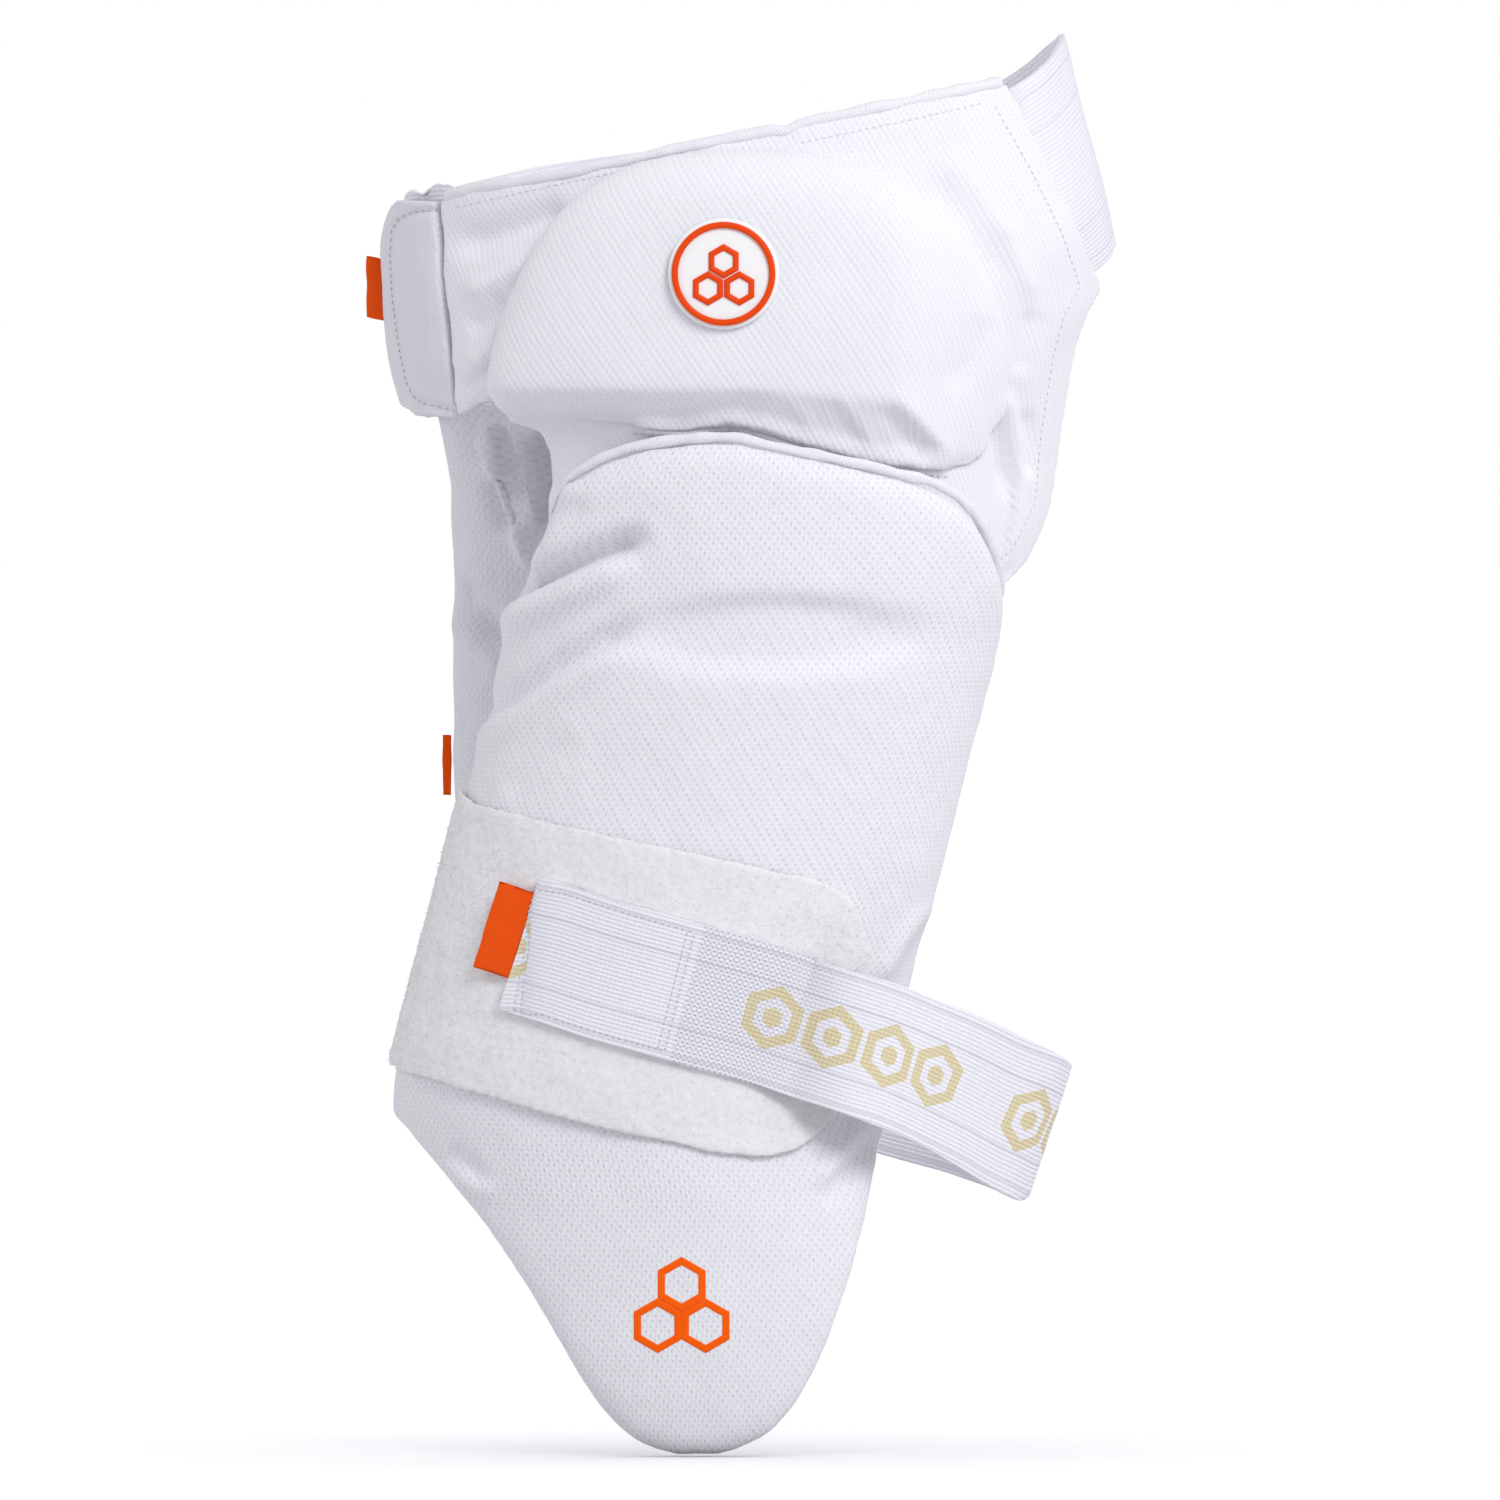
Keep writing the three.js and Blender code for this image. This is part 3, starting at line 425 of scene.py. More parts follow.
# Twill: fine ribs that run down to the right, with hardly any holes, a little smoother.
belt_knit = knit(
    "belt_twill_knit", "EEEEF4", "DCDCE6", dots=(2.1, 3.4),
    rib_pitch=2.3, rib_turn=-32, rib_share=0.6, relief=0.08,
)
waist_radius = 125
belt_yoke = soft_copy("belt_yoke", "belt_and_yoke", 1.25)
yoke_folds = [
    (-4.6, 6.0, [(-110, -2), (-88, 5), (-62, 13)]),
    (2.8, 4.0, [(-104, -19), (-90, -12), (-76, -4)]),
    (-2.6, 4.0, [(-102, -32), (-94, -26), (-86, -18)]),
    (2.0, 3.5, [(-102, -45), (-94, -38), (-88, -30)]),
    (-2.0, 3.2, [(-104, -54), (-96, -48), (-90, -42)]),
    (-2.4, 4.0, [(-86, -68), (-76, -76), (-72, -92)]),
    (2.4, 3.0, [(91, -50), (94, -64), (97, -88)]),
    (-2.8, 3.4, [(82, -44), (87, -60), (91, -78), (93, -94)]),
    (-2.2, 3.0, [(100, -58), (102, -70), (101, -86)]),
    (-1.6, 4.0, [(103, -22), (99, -36), (97, -48)]),
    (1.6, 4.0, [(88, 14), (96, -6), (104, -22)]),
    (-1.4, 5.0, [(62, 26), (80, 6), (92, -16)]),
    (1.2, 5.0, [(66, 36), (84, 16), (96, -2)]),
]
for height, width, stops in yoke_folds:
    fold(belt_yoke, height, width, stops, thin=True)
# The hip pad's seam shows under the pad as a soft wavy welt.
hip_seam = [(-42, -66), (-24, -67.5), (-7.6, -65), (4, -67.5), (17, -72.5), (42, -78.5), (72, -82)]
fold(belt_yoke, 2.0, 1.7, hip_seam, fade=0.06)
# At the left the belt's lower edge is drawn up beside the tab, and the top edge dips at a seam.
points = places(belt_yoke)
drawn = np.interp(points[:, 0], [-105, -97, -91, -86], [0, 6, 9, 0]) * (points[:, 1] < 20)
points[:, 2] += drawn * ramp(points[:, 2], -44, -64)
points[:, 2] -= top_dip(points) * ramp(points[:, 2], 28, 34)
move_to(belt_yoke, points)
ripple(belt_yoke, 0.8, 22, 3)
lay_cloth(belt_yoke, waist_middle, waist_radius)
finish_piece(belt_yoke, "belt_yoke", belt_knit)


# Hip pad. A D-shaped block of foam under the yoke's outer cloth, so its right side runs
# smoothly into the yoke while its left and lower sides stand off it.
def draw_to(target, points, shares):
    """Draws points towards a target's skin, each by its own share of the way."""
    skin = BVHTree.FromObject(target, bpy.context.evaluated_depsgraph_get())
    for i in np.nonzero(shares)[0]:
        near = np.array(skin.find_nearest(Vector(points[i]) * MM)[0]) / MM
        points[i] += (near - points[i]) * shares[i]


hip_pad = soft_copy("hip_pad", "hip_pad_cover", 1.6)
# The right and upper right edges are drawn back into the yoke, so that the cloth runs on.
points, normals = places(hip_pad), facings(hip_pad)
to_right = ramp(points[:, 0], -20, 40) * ramp(points[:, 2], -62, -42)
rim = np.clip(1 + normals[:, 1] * 1.15, 0, 1)
points[:, 1] += 3.2 * to_right * rim
move_to(hip_pad, points)
# Its lower side slopes back to the yoke, and reaches further down towards the right.
points = places(hip_pad)
slope = ramp(points[:, 2], -52, -65)
lower = np.interp(points[:, 0], [0, 17, 42, 74, 90], [0, 5.5, 11.5, 15, 13])
points[:, 2] -= lower * ramp(points[:, 2], -46, -65)
draw_to(belt_yoke, points, np.maximum(0.8 * slope, 0.75 * eased(ramp(points[:, 0], 50, 88))))
move_to(hip_pad, points)
apply(hip_pad, "SMOOTH", factor=0.5, iterations=4)
ripple(hip_pad, 0.9, 30, 6, facing=(0, -1, 0))
# Small pleats where the cloth is sewn to the yoke: height, width and line, as above.
hip_folds = [
    (-1.2, 5.0, [(86, -24), (80, -40), (70, -54)]),
    (0.8, 2.0, [(12, -53), (19, -61), (25, -70)]),
    (1.0, 2.0, [(31, -53), (39, -63), (46, -75)]),
    (-0.7, 2.4, [(27, -55), (35, -66), (41, -75)]),
    (1.7, 2.2, [(50, -52), (62, -65), (76, -80)]),
    (-1.4, 2.8, [(45, -57), (56, -69), (68, -81)]),
]
for height, width, stops in hip_folds:
    fold(hip_pad, height, width, stops)
lay_cloth(hip_pad, waist_middle, waist_radius)
finish_piece(hip_pad, "hip_pad", belt_knit)


# Binding and piping. A narrow tape is folded over the belt's top edge and stitched down, and
# a covered cord is sewn into the seam along the thigh pad's top edge. The tape's close weave,
# with painted shade in its many small holes, looks a shade greyer than the cloth beside it.
binding_weave = knit(
    "binding_tape_weave", "EDEDF3", "D6D6E0", dots=(1.6, 1.8),
    rib_pitch=1.3, rib_turn=30, rib_share=0.5, relief=0.12,
)
for node, name, middle_of, radius in [
    ("belt_binding", "belt_top_binding", waist_middle, waist_radius),
    ("pad_piping", "thigh_pad_piping", thigh_middle, leg_radius),
]:
    trim = copy_of(node, name)
    apply(trim, "SUBSURF", levels=2, render_levels=2)
    # Both are a little fuller than the solids, and the belt's lies down on its edge.
    points, normals = places(trim), facings(trim)
    points += normals * 0.6
    points[:, 2] -= (1.9 + top_dip(points)) * (points[:, 2] > -20)
    if node == "pad_piping":
        # Its left end runs out into the thigh pad's side.
        draw_to(thigh_pad, points, 0.95 * ramp(points[:, 0], -64, -73))
    move_to(trim, points)
    ripple(trim, 0.8, 9, 4)
    lay_cloth(trim, middle_of, radius)
    finish_piece(trim, node, binding_weave)


# Closing tab. The belt's padded end with a hook patch inside, turned and stitched round. Its
# twill is flatter than the belt's, because the patch stiffens it, and its greyer colour is painted shade
# for a side turned away from the lamp.
closing_tab = soft_copy("closing_tab", "belt_closing_tab", 0.85)
points = places(closing_tab)
points[:, 0] -= 4 * ramp(points[:, 0], -106, -131)
points[:, 0] += 1.5 * ramp(points[:, 0], -116, -111)
move_to(closing_tab, points)
# The hem is a groove one seam's width inside the tab's edge.
tab_hem = [
    (-105, 13.3), (-122, 11.8), (-126.8, 9.8), (-129.6, 5.6), (-130.4, -3), (-129.5, -20),
    (-126.6, -40), (-124.5, -49.5), (-122.2, -54.6), (-118.4, -57.2), (-105, -60.3),
]
fold(closing_tab, -1.5, 1.2, tab_hem, fade=0.02, facing=(-0.7, -0.7, 0))
ripple(closing_tab, 0.7, 16, 7)
lay_cloth(closing_tab, waist_middle, waist_radius)
# The greyer colours are painted shade for the tab's side turned from the lamp.
shaded_tab_knit = knit(
    "tab_twill_knit_painted_shade", "E3E3EA", "D2D2DC", dots=(1.9, 2.6),
    rib_pitch=1.8, rib_turn=-14, rib_share=0.6, relief=0.07,
)
finish_piece(closing_tab, "closing_tab", shaded_tab_knit)


# Inner guard. A lighter pad of the same make for the inside of the other thigh. Its cover is
# gathered where it hangs from the belt.
def guard_middle(z):
    """The other leg's middle inside the inner guard, in millimetres."""
    return -45.0, 79.0


guard_radius = 55
inner_guard = soft_copy("inner_guard", "inner_guard_cover", 1.4)
guard_folds = [
    (-11.0, 5.0, [(-80, -66), (-76, -78), (-73, -90), (-74, -108)]),
    (6.5, 3.0, [(-100, -62), (-90, -84), (-82, -108), (-80, -122)]),
    (5.5, 2.4, [(-88, -62), (-83, -84), (-79, -106)]),
    (-7.0, 2.6, [(-94, -62), (-86, -82), (-81, -98)]),
    (-8.0, 4.0, [(-93, -84), (-90, -96), (-87, -106)]),
    (-3.0, 3.0, [(-102, -62), (-98, -72), (-96, -82)]),
    (-5.0, 4.5, [(-112, -122), (-99, -133), (-87, -148)]),
    (2.6, 5.0, [(-112, -134), (-99, -145), (-86, -160)]),
    (-2.0, 6.0, [(-112, -172), (-100, -178), (-88, -190)]),
]
for height, width, stops in guard_folds:
    fold(inner_guard, height, width, stops)
apply(inner_guard, "SMOOTH", factor=0.5, iterations=5)
ripple(inner_guard, 1.6, 30, 8)
ripple(inner_guard, 0.3, 9, 9)
lay_cloth(inner_guard, guard_middle, guard_radius)
# The same birdseye as the thigh pad's, with smaller holes; its greyer colours are painted shade, as the
# guard hangs in shade behind the thigh pad.
shaded_guard_knit = knit(
    "inner_guard_birdseye_painted_shade", "E1E1E8", "CFCFDA", dots=(2.9, 3.3),
    rib_pitch=1.9, rib_turn=14, rib_share=0.35, relief=0.18,
)
finish_piece(inner_guard, "inner_guard", shaded_guard_knit)


# Elastics. Woven rubber and polyester bands: a wide one round the waist, a 50 mm one for the
# leg and a loop on the inner guard. Fine ribs run along them, and grooves set off their edges.
def lay_band(piece, middle, open_at):
    """The cloth runs along the band's middle line, from where the loop is open, and across.
    The line is found from the band's rims, in steps of 2 degrees round its middle."""
    points = places(piece)
    turn = np.arctan2(points[:, 0] - middle[0], middle[1] - points[:, 1])
    turn = (turn - math.radians(open_at)) % (2 * math.pi)
    steps = np.linspace(0, 2 * math.pi, 181)
    which = np.digitize(turn, steps)
    stops = []
    for i in range(1, len(steps)):
        near = points[which == i]
        if len(near) > 1:
            low, high = near[near[:, 2].argmin()], near[near[:, 2].argmax()]
            stops.append(((steps[i - 1] + steps[i]) / 2, *((low + high) / 2), high[2] - low[2]))
    stops = np.array(stops)
    # A slanted end would pull the middle line aside, so there the line runs straight on.
    stops = stops[stops[:, 4] > 0.8 * np.median(stops[:, 4])][:, :4]
    before, after = stops[0] - 3 * (stops[4] - stops[0]), stops[-1] + 3 * (stops[-1] - stops[-5])
    stops = np.vstack([before, stops, after])
    for _ in range(4):
        stops[1:-1, 1:] = (stops[:-2, 1:] + 2 * stops[1:-1, 1:] + stops[2:, 1:]) / 4
    runs = np.linalg.norm(np.diff(stops[:, 1:], axis=0), axis=1)
    length = np.concatenate([[0], np.cumsum(runs)])
    slope = np.gradient(stops[:, 3], length + np.arange(len(length)) * 1e-6)
    rise = points[:, 2] - np.interp(turn, stops[:, 0], stops[:, 3])
    lean = np.arctan(np.interp(turn, stops[:, 0], slope))
    along = np.interp(turn, stops[:, 0], length) + rise * np.sin(lean)
    along -= along.min()
    store_cloth(piece, np.stack([along, rise * np.cos(lean), np.zeros(len(points))], axis=1))


def within(tree, value, start, end):
    """1 where a value lies between two numbers, else 0."""
    off = add(tree, MATH, [value, (start + end) / 2], operation="SUBTRACT")
    off = add(tree, MATH, [off], operation="ABSOLUTE")
    return add(tree, MATH, [off, (end - start) / 2], operation="LESS_THAN")


def elastic(name, grooves, rib_pitch, groove_shade, motif=(), net=None):
    """Woven elastic: white and fairly matt, ribbed along and across, with thin grooves. The grey in
    the grooves, the rib valleys and the mesh's holes is painted shade. grooves are the grooves'
    places across the band; motif is a list of stretches along it with a woven beige pattern; net
    is the stretch with an open mesh. All are in millimetres."""
    material, tree = new_material(name)
    cloth = add(tree, "ShaderNodeAttribute", attribute_name="cloth").outputs["Vector"]
    along, across, _ = add(tree, "ShaderNodeSeparateXYZ", [cloth]).outputs
    ribs = sine_of(tree, cloth, rib_pitch, 90)
    weft = sine_of(tree, cloth, 1.7)
    fuzz = add(tree, "ShaderNodeTexNoise", [cloth], Scale=1.4, Detail=3.0)
    height = add(tree, MATH, [weft, 0.25, fuzz], operation="MULTIPLY_ADD")
    height = add(tree, MATH, [ribs, 0.5, height], operation="MULTIPLY_ADD")
    # Painted shade: the rib valleys and the grooves are darkened in the colour.
    shade = add(tree, MATH, [ribs, -0.12, 0.14], operation="MULTIPLY_ADD")
    for place in grooves:
        groove = within(tree, across, place - 0.4, place + 0.4)
        height = add(tree, MATH, [groove, -4 * groove_shade, height], operation="MULTIPLY_ADD")
        shade = add(tree, MATH, [groove, groove_shade, shade], operation="MULTIPLY_ADD")
    if net:
        # Open holes 2.1 mm apart, darkened with painted shade, which fade out over the last 30 mm.
        columns, rows = sine_of(tree, cloth, 2.1), sine_of(tree, cloth, 2.1, 90)
        holes = add(tree, MATH, [columns, rows], operation="MULTIPLY")
        holes = add(tree, MATH, [holes, 0.25], operation="GREATER_THAN")
        fade = add(tree, MATH, [net[1], along], operation="SUBTRACT")
        fade = add(tree, MATH, [fade, 30.0], operation="DIVIDE")
        fade = add(tree, MATH, [fade, 1.0], operation="MINIMUM")
        fade = add(tree, MATH, [fade, within(tree, along, *net)], operation="MULTIPLY")
        holes = add(tree, MATH, [holes, fade], operation="MULTIPLY")
        height = add(tree, MATH, [holes, -1.2, height], operation="MULTIPLY_ADD")
        shade = add(tree, MATH, [holes, 0.75, shade], operation="MULTIPLY_ADD")
    bump = add(tree, "ShaderNodeBump", Height=height, Strength=1.0, Distance=0.2 * MM)
    colour = add(tree, "ShaderNodeMix", [shade], data_type="RGBA", clamp_factor=True)
    colour.inputs[6].default_value = linear("F3F2FA")
    colour.inputs[7].default_value = linear("C9C8D8")
    surface = colour.outputs[2]
    if motif:
        # Six-sided cells in a row, each a ring with a smaller cell inside it. reach is the
        # distance from a cell's middle, measured square to its nearest side.
        cell = 22.8
        aside = add(tree, MATH, [along, cell / 2], operation="PINGPONG")
        slant = add(tree, MATH, [across], operation="ABSOLUTE")
        slant = add(tree, MATH, [slant, 0.866], operation="MULTIPLY")
        reach = add(tree, MATH, [aside, 0.5, slant], operation="MULTIPLY_ADD")
        reach = add(tree, MATH, [reach, aside], operation="MAXIMUM")
        core = add(tree, MATH, [reach, 3.4], operation="LESS_THAN")
        mark = add(tree, MATH, [within(tree, reach, 6.6, 10.4), core], operation="MAXIMUM")
        where = 0.0
        for start, end in motif:
            where = add(tree, MATH, [within(tree, along, start, end), where], operation="MAXIMUM")
        mark = add(tree, MATH, [mark, where], operation="MULTIPLY")
        cover = add(tree, MATH, [weft, 0.12, 0.86], operation="MULTIPLY_ADD")
        mark = add(tree, MATH, [mark, cover], operation="MULTIPLY")
        woven = add(tree, "ShaderNodeMix", [mark], data_type="RGBA", clamp_factor=True)
        tree.links.new(surface, woven.inputs[6])
        woven.inputs[7].default_value = linear("DDCEA0")
        surface = woven.outputs[2]
    shader = add(
        tree, "ShaderNodeBsdfPrincipled", Base_Color=surface, Normal=bump,
        Roughness=0.85, Specular_IOR_Level=0.25,
    )
    add(tree, "ShaderNodeOutputMaterial", [shader])
    return material


def finish_band(piece, node, material, middle, open_at):
    """Lays out a band's cloth, rounds its rims a little and finishes it."""
    lay_band(piece, middle, open_at)
    apply(piece, "BEVEL", width=0.4 * MM, segments=2, limit_method="ANGLE", angle_limit=math.radians(50))
    finish_piece(piece, node, material)


waist_grooves = (-33, -20, 20, 33)
waist_weave = elastic("waist_elastic_weave", waist_grooves, rib_pitch=1.7, groove_shade=0.12)
waist_elastic = copy_of("waist_elastic", "waist_elastic_band", 50)
apply(waist_elastic, "SUBSURF", levels=3, render_levels=3)
# Its end is gathered under the closing tab, and the gathered edge stands up behind the tab.
points, normals = places(waist_elastic), facings(waist_elastic)
gathers = ramp(points[:, 0], -88, -102) * ramp(points[:, 2], -4, 10) * (points[:, 1] < 0)
waves = np.array([noise.noise(Vector((x / 5.5, y / 40, 0.0))) for x, y, _ in points])
points += normals * (1.8 * waves * gathers)[:, None]
points[:, 2] += (1.8 + 2.4 * waves) * gathers
stands_up = np.interp(points[:, 0], [-127, -119, -112, -104, -98], [0, 3.8, 4.6, 2.2, 0])
points[:, 2] += stands_up * ramp(points[:, 2], 2, 14) * (points[:, 1] < 0)
# Its lower edge is drawn up a little, so that the tab hides it.
hidden = ramp(points[:, 2], -50, -60) * ramp(points[:, 1], 25, 5)
points[:, 2] += 2.5 * hidden * (points[:, 0] < -90)
move_to(waist_elastic, points)
ripple(waist_elastic, 0.8, 30, 10)
finish_band(waist_elastic, "waist_elastic", waist_weave, (0, 0), 0)

strap_weave = elastic(
    "leg_strap_weave", grooves=(-22.6, -12.5, 12.5, 22.6), rib_pitch=1.5, groove_shade=0.35,
    motif=[(-4, 8), (102.6, 193.8), (216.6, 262.2)], net=(82, 140),
)
leg_strap = copy_of("leg_strap", "leg_strap_band", 50)
apply(leg_strap, "SUBSURF", levels=3, render_levels=3)
# Its fold at the back of the leg lies square to its run, so the lower corner is drawn in.
points = places(leg_strap)
to_fold = ramp(points[:, 0], 30, 115) ** 1.5
points[:, 0] -= to_fold * (9.0 - 0.32 * (points[:, 2] + 319))
move_to(leg_strap, points)
# Where it leaves the pile its bend is spread over 50 mm. run is the way along the strap from
# there, and depth is where the strap's front then lies on the way from front to back.
points = places(leg_strap)
front = points[:, 1] < -95
run = points[:, 0] - 0.27 * (points[:, 2] + 275)
steps = np.arange(-60, 60, 2.0)
depth = np.array([points[front & (np.abs(run - s) < 2.5), 1].mean() for s in steps])
window = np.hanning(21) / np.hanning(21).sum()
spread = np.convolve(np.pad(depth, 10, mode="edge"), window, "valid")
change = (spread - depth) * ramp(steps, -40, -20) * ramp(steps, 58, 48)
points[:, 1] += np.interp(run, steps, change) * front
# The fold's two corners are rounded.
corner = 3.6
along_x, along_z = 0.95, -0.311
reach = points[:, 0] * along_x + points[:, 2] * along_z
reach -= reach.max()
height = points[:, 0] * along_z - points[:, 2] * along_x
at_fold = height[reach > -6]
for from_rim in (height - at_fold.min(), at_fold.max() - height):
    inside = np.clip(corner - from_rim, 0, corner)
    pull = np.clip(reach + corner, 0, None) * (1 - np.sqrt(corner**2 - inside**2) / corner)
    points[:, 0] -= along_x * pull
    points[:, 2] -= along_z * pull
move_to(leg_strap, points)
ripple(leg_strap, 0.5, 26, 11)
finish_band(leg_strap, "leg_strap", strap_weave, (0, -50), -72)

guard_weave = elastic("guard_loop_weave", grooves=(-14, 14), rib_pitch=1.6, groove_shade=0.3)
guard_loop = copy_of("inner_strap", "inner_guard_loop", 50)
apply(guard_loop, "SUBSURF", levels=2, render_levels=2)
ripple(guard_loop, 0.5, 26, 12)
finish_band(guard_loop, "inner_strap", guard_weave, (-45, 79), 0)


# Loop-pile panel. A patch of brushed nylon loops on the lower pad, which the leg strap's hook
# patch grips. Its cut edge is soft and a little fluffy.
def new_piece(name, points, faces):
    """A piece made from points, in millimetres, and faces."""
    mesh = bpy.data.meshes.new(name)
    mesh.from_pydata([p * MM for p in points], [], faces)
    piece = bpy.data.objects.new(name, mesh)
    bpy.context.scene.collection.objects.link(piece)
    return piece


# Fully matt and a little clouded, in tufts about 2.4 and 0.7 mm wide, with a velvety rim.
pile_material, tree = new_material("brushed_loop_pile")
place = add(tree, "ShaderNodeTexCoord").outputs["Object"]
coarse = add(tree, "ShaderNodeTexNoise", [place], Scale=420.0, Detail=3.0)
fine = add(tree, "ShaderNodeTexNoise", [place], Scale=1500.0, Detail=2.0)
height = add(tree, MATH, [fine, 0.6, coarse], operation="MULTIPLY_ADD")
bump = add(tree, "ShaderNodeBump", Height=height, Strength=1.0, Distance=0.35 * MM)
mottle = add(tree, "ShaderNodeMix", [coarse], data_type="RGBA")
mottle.inputs[6].default_value = linear("DFDFE3")
mottle.inputs[7].default_value = linear("F2F2F5")
shader = add(
    tree, "ShaderNodeBsdfPrincipled", Base_Color=mottle.outputs[2], Normal=bump,
    Roughness=1.0, Specular_IOR_Level=0.1, Sheen_Weight=0.35, Sheen_Roughness=0.7,
)
add(tree, "ShaderNodeOutputMaterial", [shader])

pile_panel = soft_copy("plush_panel", "loop_pile_panel", 1.1)
ripple(pile_panel, 0.7, 12, 13)
ripple(pile_panel, 0.25, 3.0, 14)
finish_piece(pile_panel, "plush_panel", pile_material)

# The pile's fibres: thin spikes of 1 to 2 mm that lean every way.
random.seed(11)
fibre_count = 11000
fibre_width = 0.09
spike = [(0, 1, 3), (1, 2, 3), (2, 0, 3), (0, 2, 1)]
points, normals = places(pile_panel), facings(pile_panel)
fibre_points, fibre_faces = [], []
for i in random.sample(range(len(points)), fibre_count):
    root, up = Vector(points[i]), Vector(normals[i])
    lean = Vector([random.uniform(-1, 1) for _ in range(3)])
    reach = (up + 0.9 * lean).normalized() * random.uniform(0.9, 2.0)
    side = reach.orthogonal().normalized() * fibre_width
    other = reach.cross(side).normalized() * fibre_width
    start = len(fibre_points)
    fibre_points += [root - side, root + side, root + other, root + reach]
    fibre_faces += [tuple(start + c for c in face) for face in spike]
fibres = new_piece("loop_pile_fibres", fibre_points, fibre_faces)
finish_piece(fibres, None, pile_material)


# Stitching. White polyester thread, laid in real stitches by machine: the belt's hems, the
# seam under the hip pad, the tab's seam and hem, and the rows that hold the hook patch under
# the strap's end.
def front_of(target):
    """A function that gives the place and facing of a piece's front at x and z."""
    skin = BVHTree.FromObject(target, bpy.context.evaluated_depsgraph_get())

    def look(x, z):
        hit, normal, _, _ = skin.ray_cast(Vector((x, -300, z)) * MM, Vector((0, 1, 0)))
        return (hit / MM, normal) if hit else (None, None)

    return look


def along_line(stops, step, closed=False):
    """Points at even steps along a broken line."""
    stops = stops + stops[:1] if closed else stops
    points = []
    for a, b in zip(stops, stops[1:]):
        count = max(1, round(math.dist(a, b) / step))
        shares = [i / count for i in range(count)]
        points += [(a[0] + (b[0] - a[0]) * s, a[1] + (b[1] - a[1]) * s) for s in shares]
    return points if closed else points + stops[-1:]


def plain(name, hex_colour, roughness, shine):
    """A material of one even colour. shine is the strength of its reflections, 0.5 as usual."""
    material, tree = new_material(name)
    shader = add(
        tree, "ShaderNodeBsdfPrincipled", Base_Color=linear(hex_colour),
        Roughness=roughness, Specular_IOR_Level=shine,
    )
    add(tree, "ShaderNodeOutputMaterial", [shader])
    return material


def face_outwards(piece):
    """Turns the faces of a closed piece outwards."""
    shape = bmesh.new()
    shape.from_mesh(piece.data)
    bmesh.ops.recalc_face_normals(shape, faces=shape.faces)
    shape.to_mesh(piece.data)
    shape.free()


# Both threads have a slight gloss. Their grey is painted shade, standing in for the small shadows that
# each stitch casts on the white cloth.
shaded_seam_thread = plain("white_polyester_thread", "CDCDD9", roughness=0.7, shine=0.5)
shaded_belt_thread = plain("fine_white_thread", "DFDFE8", roughness=0.7, shine=0.5)


def stitch(name, target, lines, pitch=2.6, length=1.7, size=0.35, material=shaded_seam_thread):
    """Rows of single stitches along lines on a piece's front. Each bows up and dips back. The
    pitch, the length and the size, half the thread's thickness, are millimetres."""
    look = front_of(target)
    points, faces = [], []
    ring = [(0, 1), (1, 0), (0, -1), (-1, 0)]
    for line in lines:
        for a, b in zip(along_line(line, pitch), along_line(line, pitch)[1:]):
            share = length / math.dist(a, b)
            b = (a[0] + (b[0] - a[0]) * share, a[1] + (b[1] - a[1]) * share)
            ends = [look(*a), look((a[0] + b[0]) / 2, (a[1] + b[1]) / 2), look(*b)]
            if any(place is None for place, _ in ends):
                continue
            start = len(points)
            run = (ends[2][0] - ends[0][0]).normalized()
            for (place, normal), rise, girth in zip(ends, (-0.1, 0.3, -0.1), (0.5, 1.0, 0.5)):
                side = run.cross(normal).normalized()
                for s, h in ring:
                    out = normal * (rise + h * size * girth)
                    points.append(place + out + side * (s * size * girth))
            faces += [tuple(start + c for c in (3, 2, 1, 0)), tuple(start + c for c in (8, 9, 10, 11))]
            for r in range(2):
                for c in range(4):
                    d = (c + 1) % 4
                    faces.append(tuple(start + 4 * r + k for k in (c, d, 4 + d, 4 + c)))
    piece = new_piece(name, points, faces)
    face_outwards(piece)
    finish_piece(piece, None, material)


right_hem = [
    (88, 50), (100, 29), (112.5, 4), (119, -15), (113, -26),
    (109, -42), (105, -69), (103, -93), (95, -109), (86, -118),
]
left_top_hem = [(-106, 13.6), (-68, 21.8), (-35, 28.8), (-22, 31.2)]
right_top_hem = [(18, 36.5), (54, 44), (84, 51)]
belt_hems = [right_hem, left_top_hem, right_top_hem]
under_hip = [(x, z - 1.6) for x, z in hip_seam]
tab_seam = [(-111.8, 12), (-109.2, -12), (-107.5, -36), (-106.3, -58)]
stitch("belt_hem_stitches", belt_yoke, belt_hems, size=0.25, material=shaded_belt_thread)
stitch("hip_pad_seam_stitches", belt_yoke, [under_hip], size=0.3)
stitch("tab_seam_stitches", closing_tab, [tab_seam])
stitch("tab_hem_stitches", closing_tab, [tab_hem], size=0.25)
# The hook patch's rows, as lengths along the strap and heights across it. Each is found on
# the strap's outer face by the place of its cloth.
patch_ends = [
    [(3, 22.3), (79, 22.3)], [(3, -22.3), (79, -22.3)], [(3, -22.3), (3, 22.3)],
    [(6, -22.3), (6, 22.3)], [(79, -22.3), (79, 22.3)], [(76.5, -22.3), (76.5, 22.3)],
]
flat = np.zeros(len(leg_strap.data.vertices) * 3, np.float32)
leg_strap.data.attributes["cloth"].data.foreach_get("vector", flat)
outer = facings(leg_strap) @ np.array((0, -1, 0)) > 0.5
on_cloth, in_picture = flat.reshape(-1, 3)[outer, :2], places(leg_strap)[outer][:, [0, 2]]
patch_rows = []
for ends in patch_ends:
    row = [np.linalg.norm(on_cloth - spot, axis=1).argmin() for spot in along_line(ends, 12)]
    patch_rows.append([tuple(in_picture[i]) for i in row])
stitch("hook_patch_stitches", leg_strap, patch_rows, pitch=2.3, length=1.5, size=0.3)


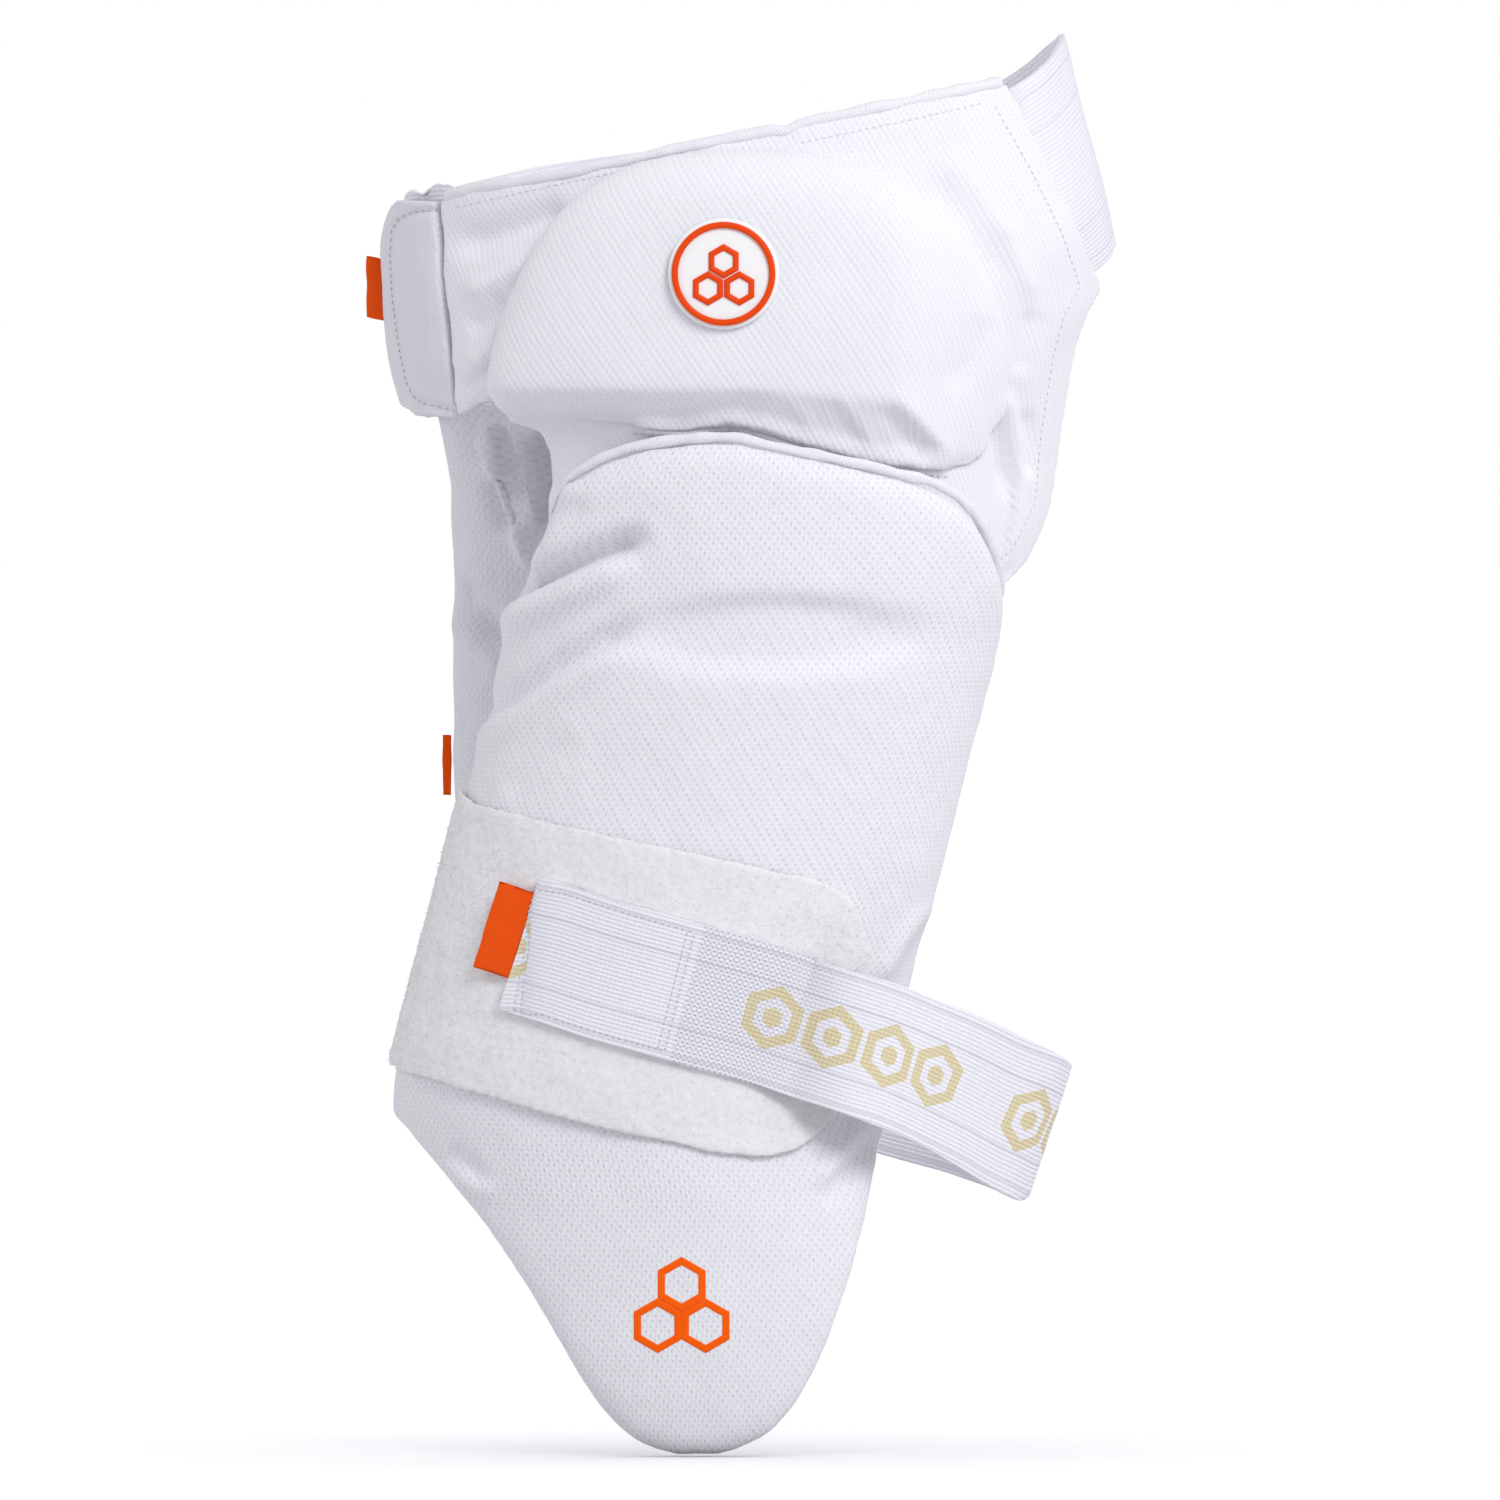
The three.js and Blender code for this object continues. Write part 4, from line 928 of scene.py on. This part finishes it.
# Badge. A white moulded rubber disc with a raised orange ring, and on it three raised orange
# cells. It is glued and sewn to the crown of the hip pad. The rubber is satin; the orange one
# reflects little, so that its colour stays deep.
white_rubber = plain("white_moulded_rubber", "F6F6F8", roughness=0.42, shine=0.5)
orange_rubber = plain("orange_moulded_rubber", "E8480C", roughness=0.42, shine=0.12)
badge_disc = copy_of("badge_disc", "badge_disc_moulded", 60)
apply(badge_disc, "SUBSURF", levels=2, render_levels=2)
finish_piece(badge_disc, "badge_disc", white_rubber)
badge_ring = copy_of("badge_ring", "badge_ring_moulded")
apply(badge_ring, "SUBSURF", levels=2, render_levels=2)
finish_piece(badge_ring, "badge_ring", orange_rubber)


def raised_lines(name, target, loops, width, rise, material):
    """Closed rounded lines drawn on a piece's front, with a width and a rise in millimetres."""
    look = front_of(target)
    section = [(-0.5, -0.5), (-0.5, 0.5), (-0.34, 0.9), (0, 1), (0.34, 0.9), (0.5, 0.5), (0.5, -0.5)]
    points, faces = [], []
    for loop in loops:
        line = along_line(loop, 0.9, closed=True)
        start, count = len(points), len(line)
        for i, (x, z) in enumerate(line):
            here, before, after = Vector((x, z)), Vector(line[i - 1]), Vector(line[(i + 1) % count])
            run_in, run_out = (here - before).normalized(), (after - here).normalized()
            run = (run_in + run_out).normalized()
            side = Vector((-run.y, run.x)) / max(run.dot(run_out), 0.5)
            for s, h in section:
                place, normal = look(x + side.x * s * width, z + side.y * s * width)
                points.append(place + normal * (h * rise))
        for i in range(count):
            for k in range(len(section)):
                j, m = (i + 1) % count, (k + 1) % len(section)
                corners = [(i, k), (j, k), (j, m), (i, m)]
                faces.append(tuple(start + a * len(section) + b for a, b in corners))
    piece = new_piece(name, points, faces)
    face_outwards(piece)
    finish_piece(piece, None, material)


def three_cells(x, z, radius, spacing):
    """Three six-sided cells, one above two, round a middle."""
    rise = spacing * math.sqrt(3) / 4
    middles = [(x, z + rise), (x - spacing / 2, z - rise), (x + spacing / 2, z - rise)]
    turns = [math.radians(90 + 60 * i) for i in range(6)]
    return [[(a + radius * math.cos(t), b + radius * math.sin(t)) for t in turns] for a, b in middles]


badge_x, badge_z = -9.4, -10.8
badge_cells = three_cells(badge_x, badge_z, radius=5.0, spacing=11.2)
raised_lines(
    "badge_cells", badge_disc, badge_cells, width=2.1, rise=0.9,
    material=orange_rubber,
)


# Print. The same three cells in orange transfer film, pressed on the lower pad. The film is
# thin, smooth and hardly glossy.
transfer_film = plain("orange_transfer_film", "FF6105", roughness=0.5, shine=0.08)
print_x, print_z = -24.5, -380
print_cells = three_cells(print_x, print_z, radius=8.4, spacing=17.2)
raised_lines(
    "pad_print_cells", thigh_pad, print_cells, width=2.6, rise=0.22,
    material=transfer_film,
)


# Labels. Folded orange woven ribbon, sewn into the tab's end, the strap's end and the inner
# guard's edge. Matt, with fine upright ribs 0.9 mm apart.
label_material, tree = new_material("orange_woven_label")
place = add(tree, "ShaderNodeTexCoord").outputs["Object"]
in_mm = add(tree, "ShaderNodeMapping", [place], Scale=(1000, 1000, 1000))
weave = add(tree, MATH, [sine_of(tree, in_mm, 0.9), 0.3, 0.5], operation="MULTIPLY_ADD")
bump = add(tree, "ShaderNodeBump", Height=weave, Strength=0.6, Distance=0.1 * MM)
shader = add(
    tree, "ShaderNodeBsdfPrincipled", Base_Color=linear("F2540A"), Normal=bump,
    Roughness=0.6, Specular_IOR_Level=0.1,
)
add(tree, "ShaderNodeOutputMaterial", [shader])
for node in ("waist_tag", "strap_tag", "inner_tag"):
    label = copy_of(node, node.replace("tag", "woven_label"), 50)
    apply(label, "SUBSURF", levels=3, render_levels=3)
    if node == "strap_tag":
        # This one is shorter and wider than its neighbours.
        points = places(label)
        centre = points.mean(axis=0)
        for axis, share, shift in [((0.295, 0, 0.955), 0.78, -1.5), ((0.955, 0, -0.295), 1.3, -1.3)]:
            axis = np.array(axis)
            reach = (points - centre) @ axis
            points += axis * ((share - 1) * reach + shift)[:, None]
        move_to(label, points)
    ripple(label, 0.5, 7, 15)
    finish_piece(label, node, label_material)
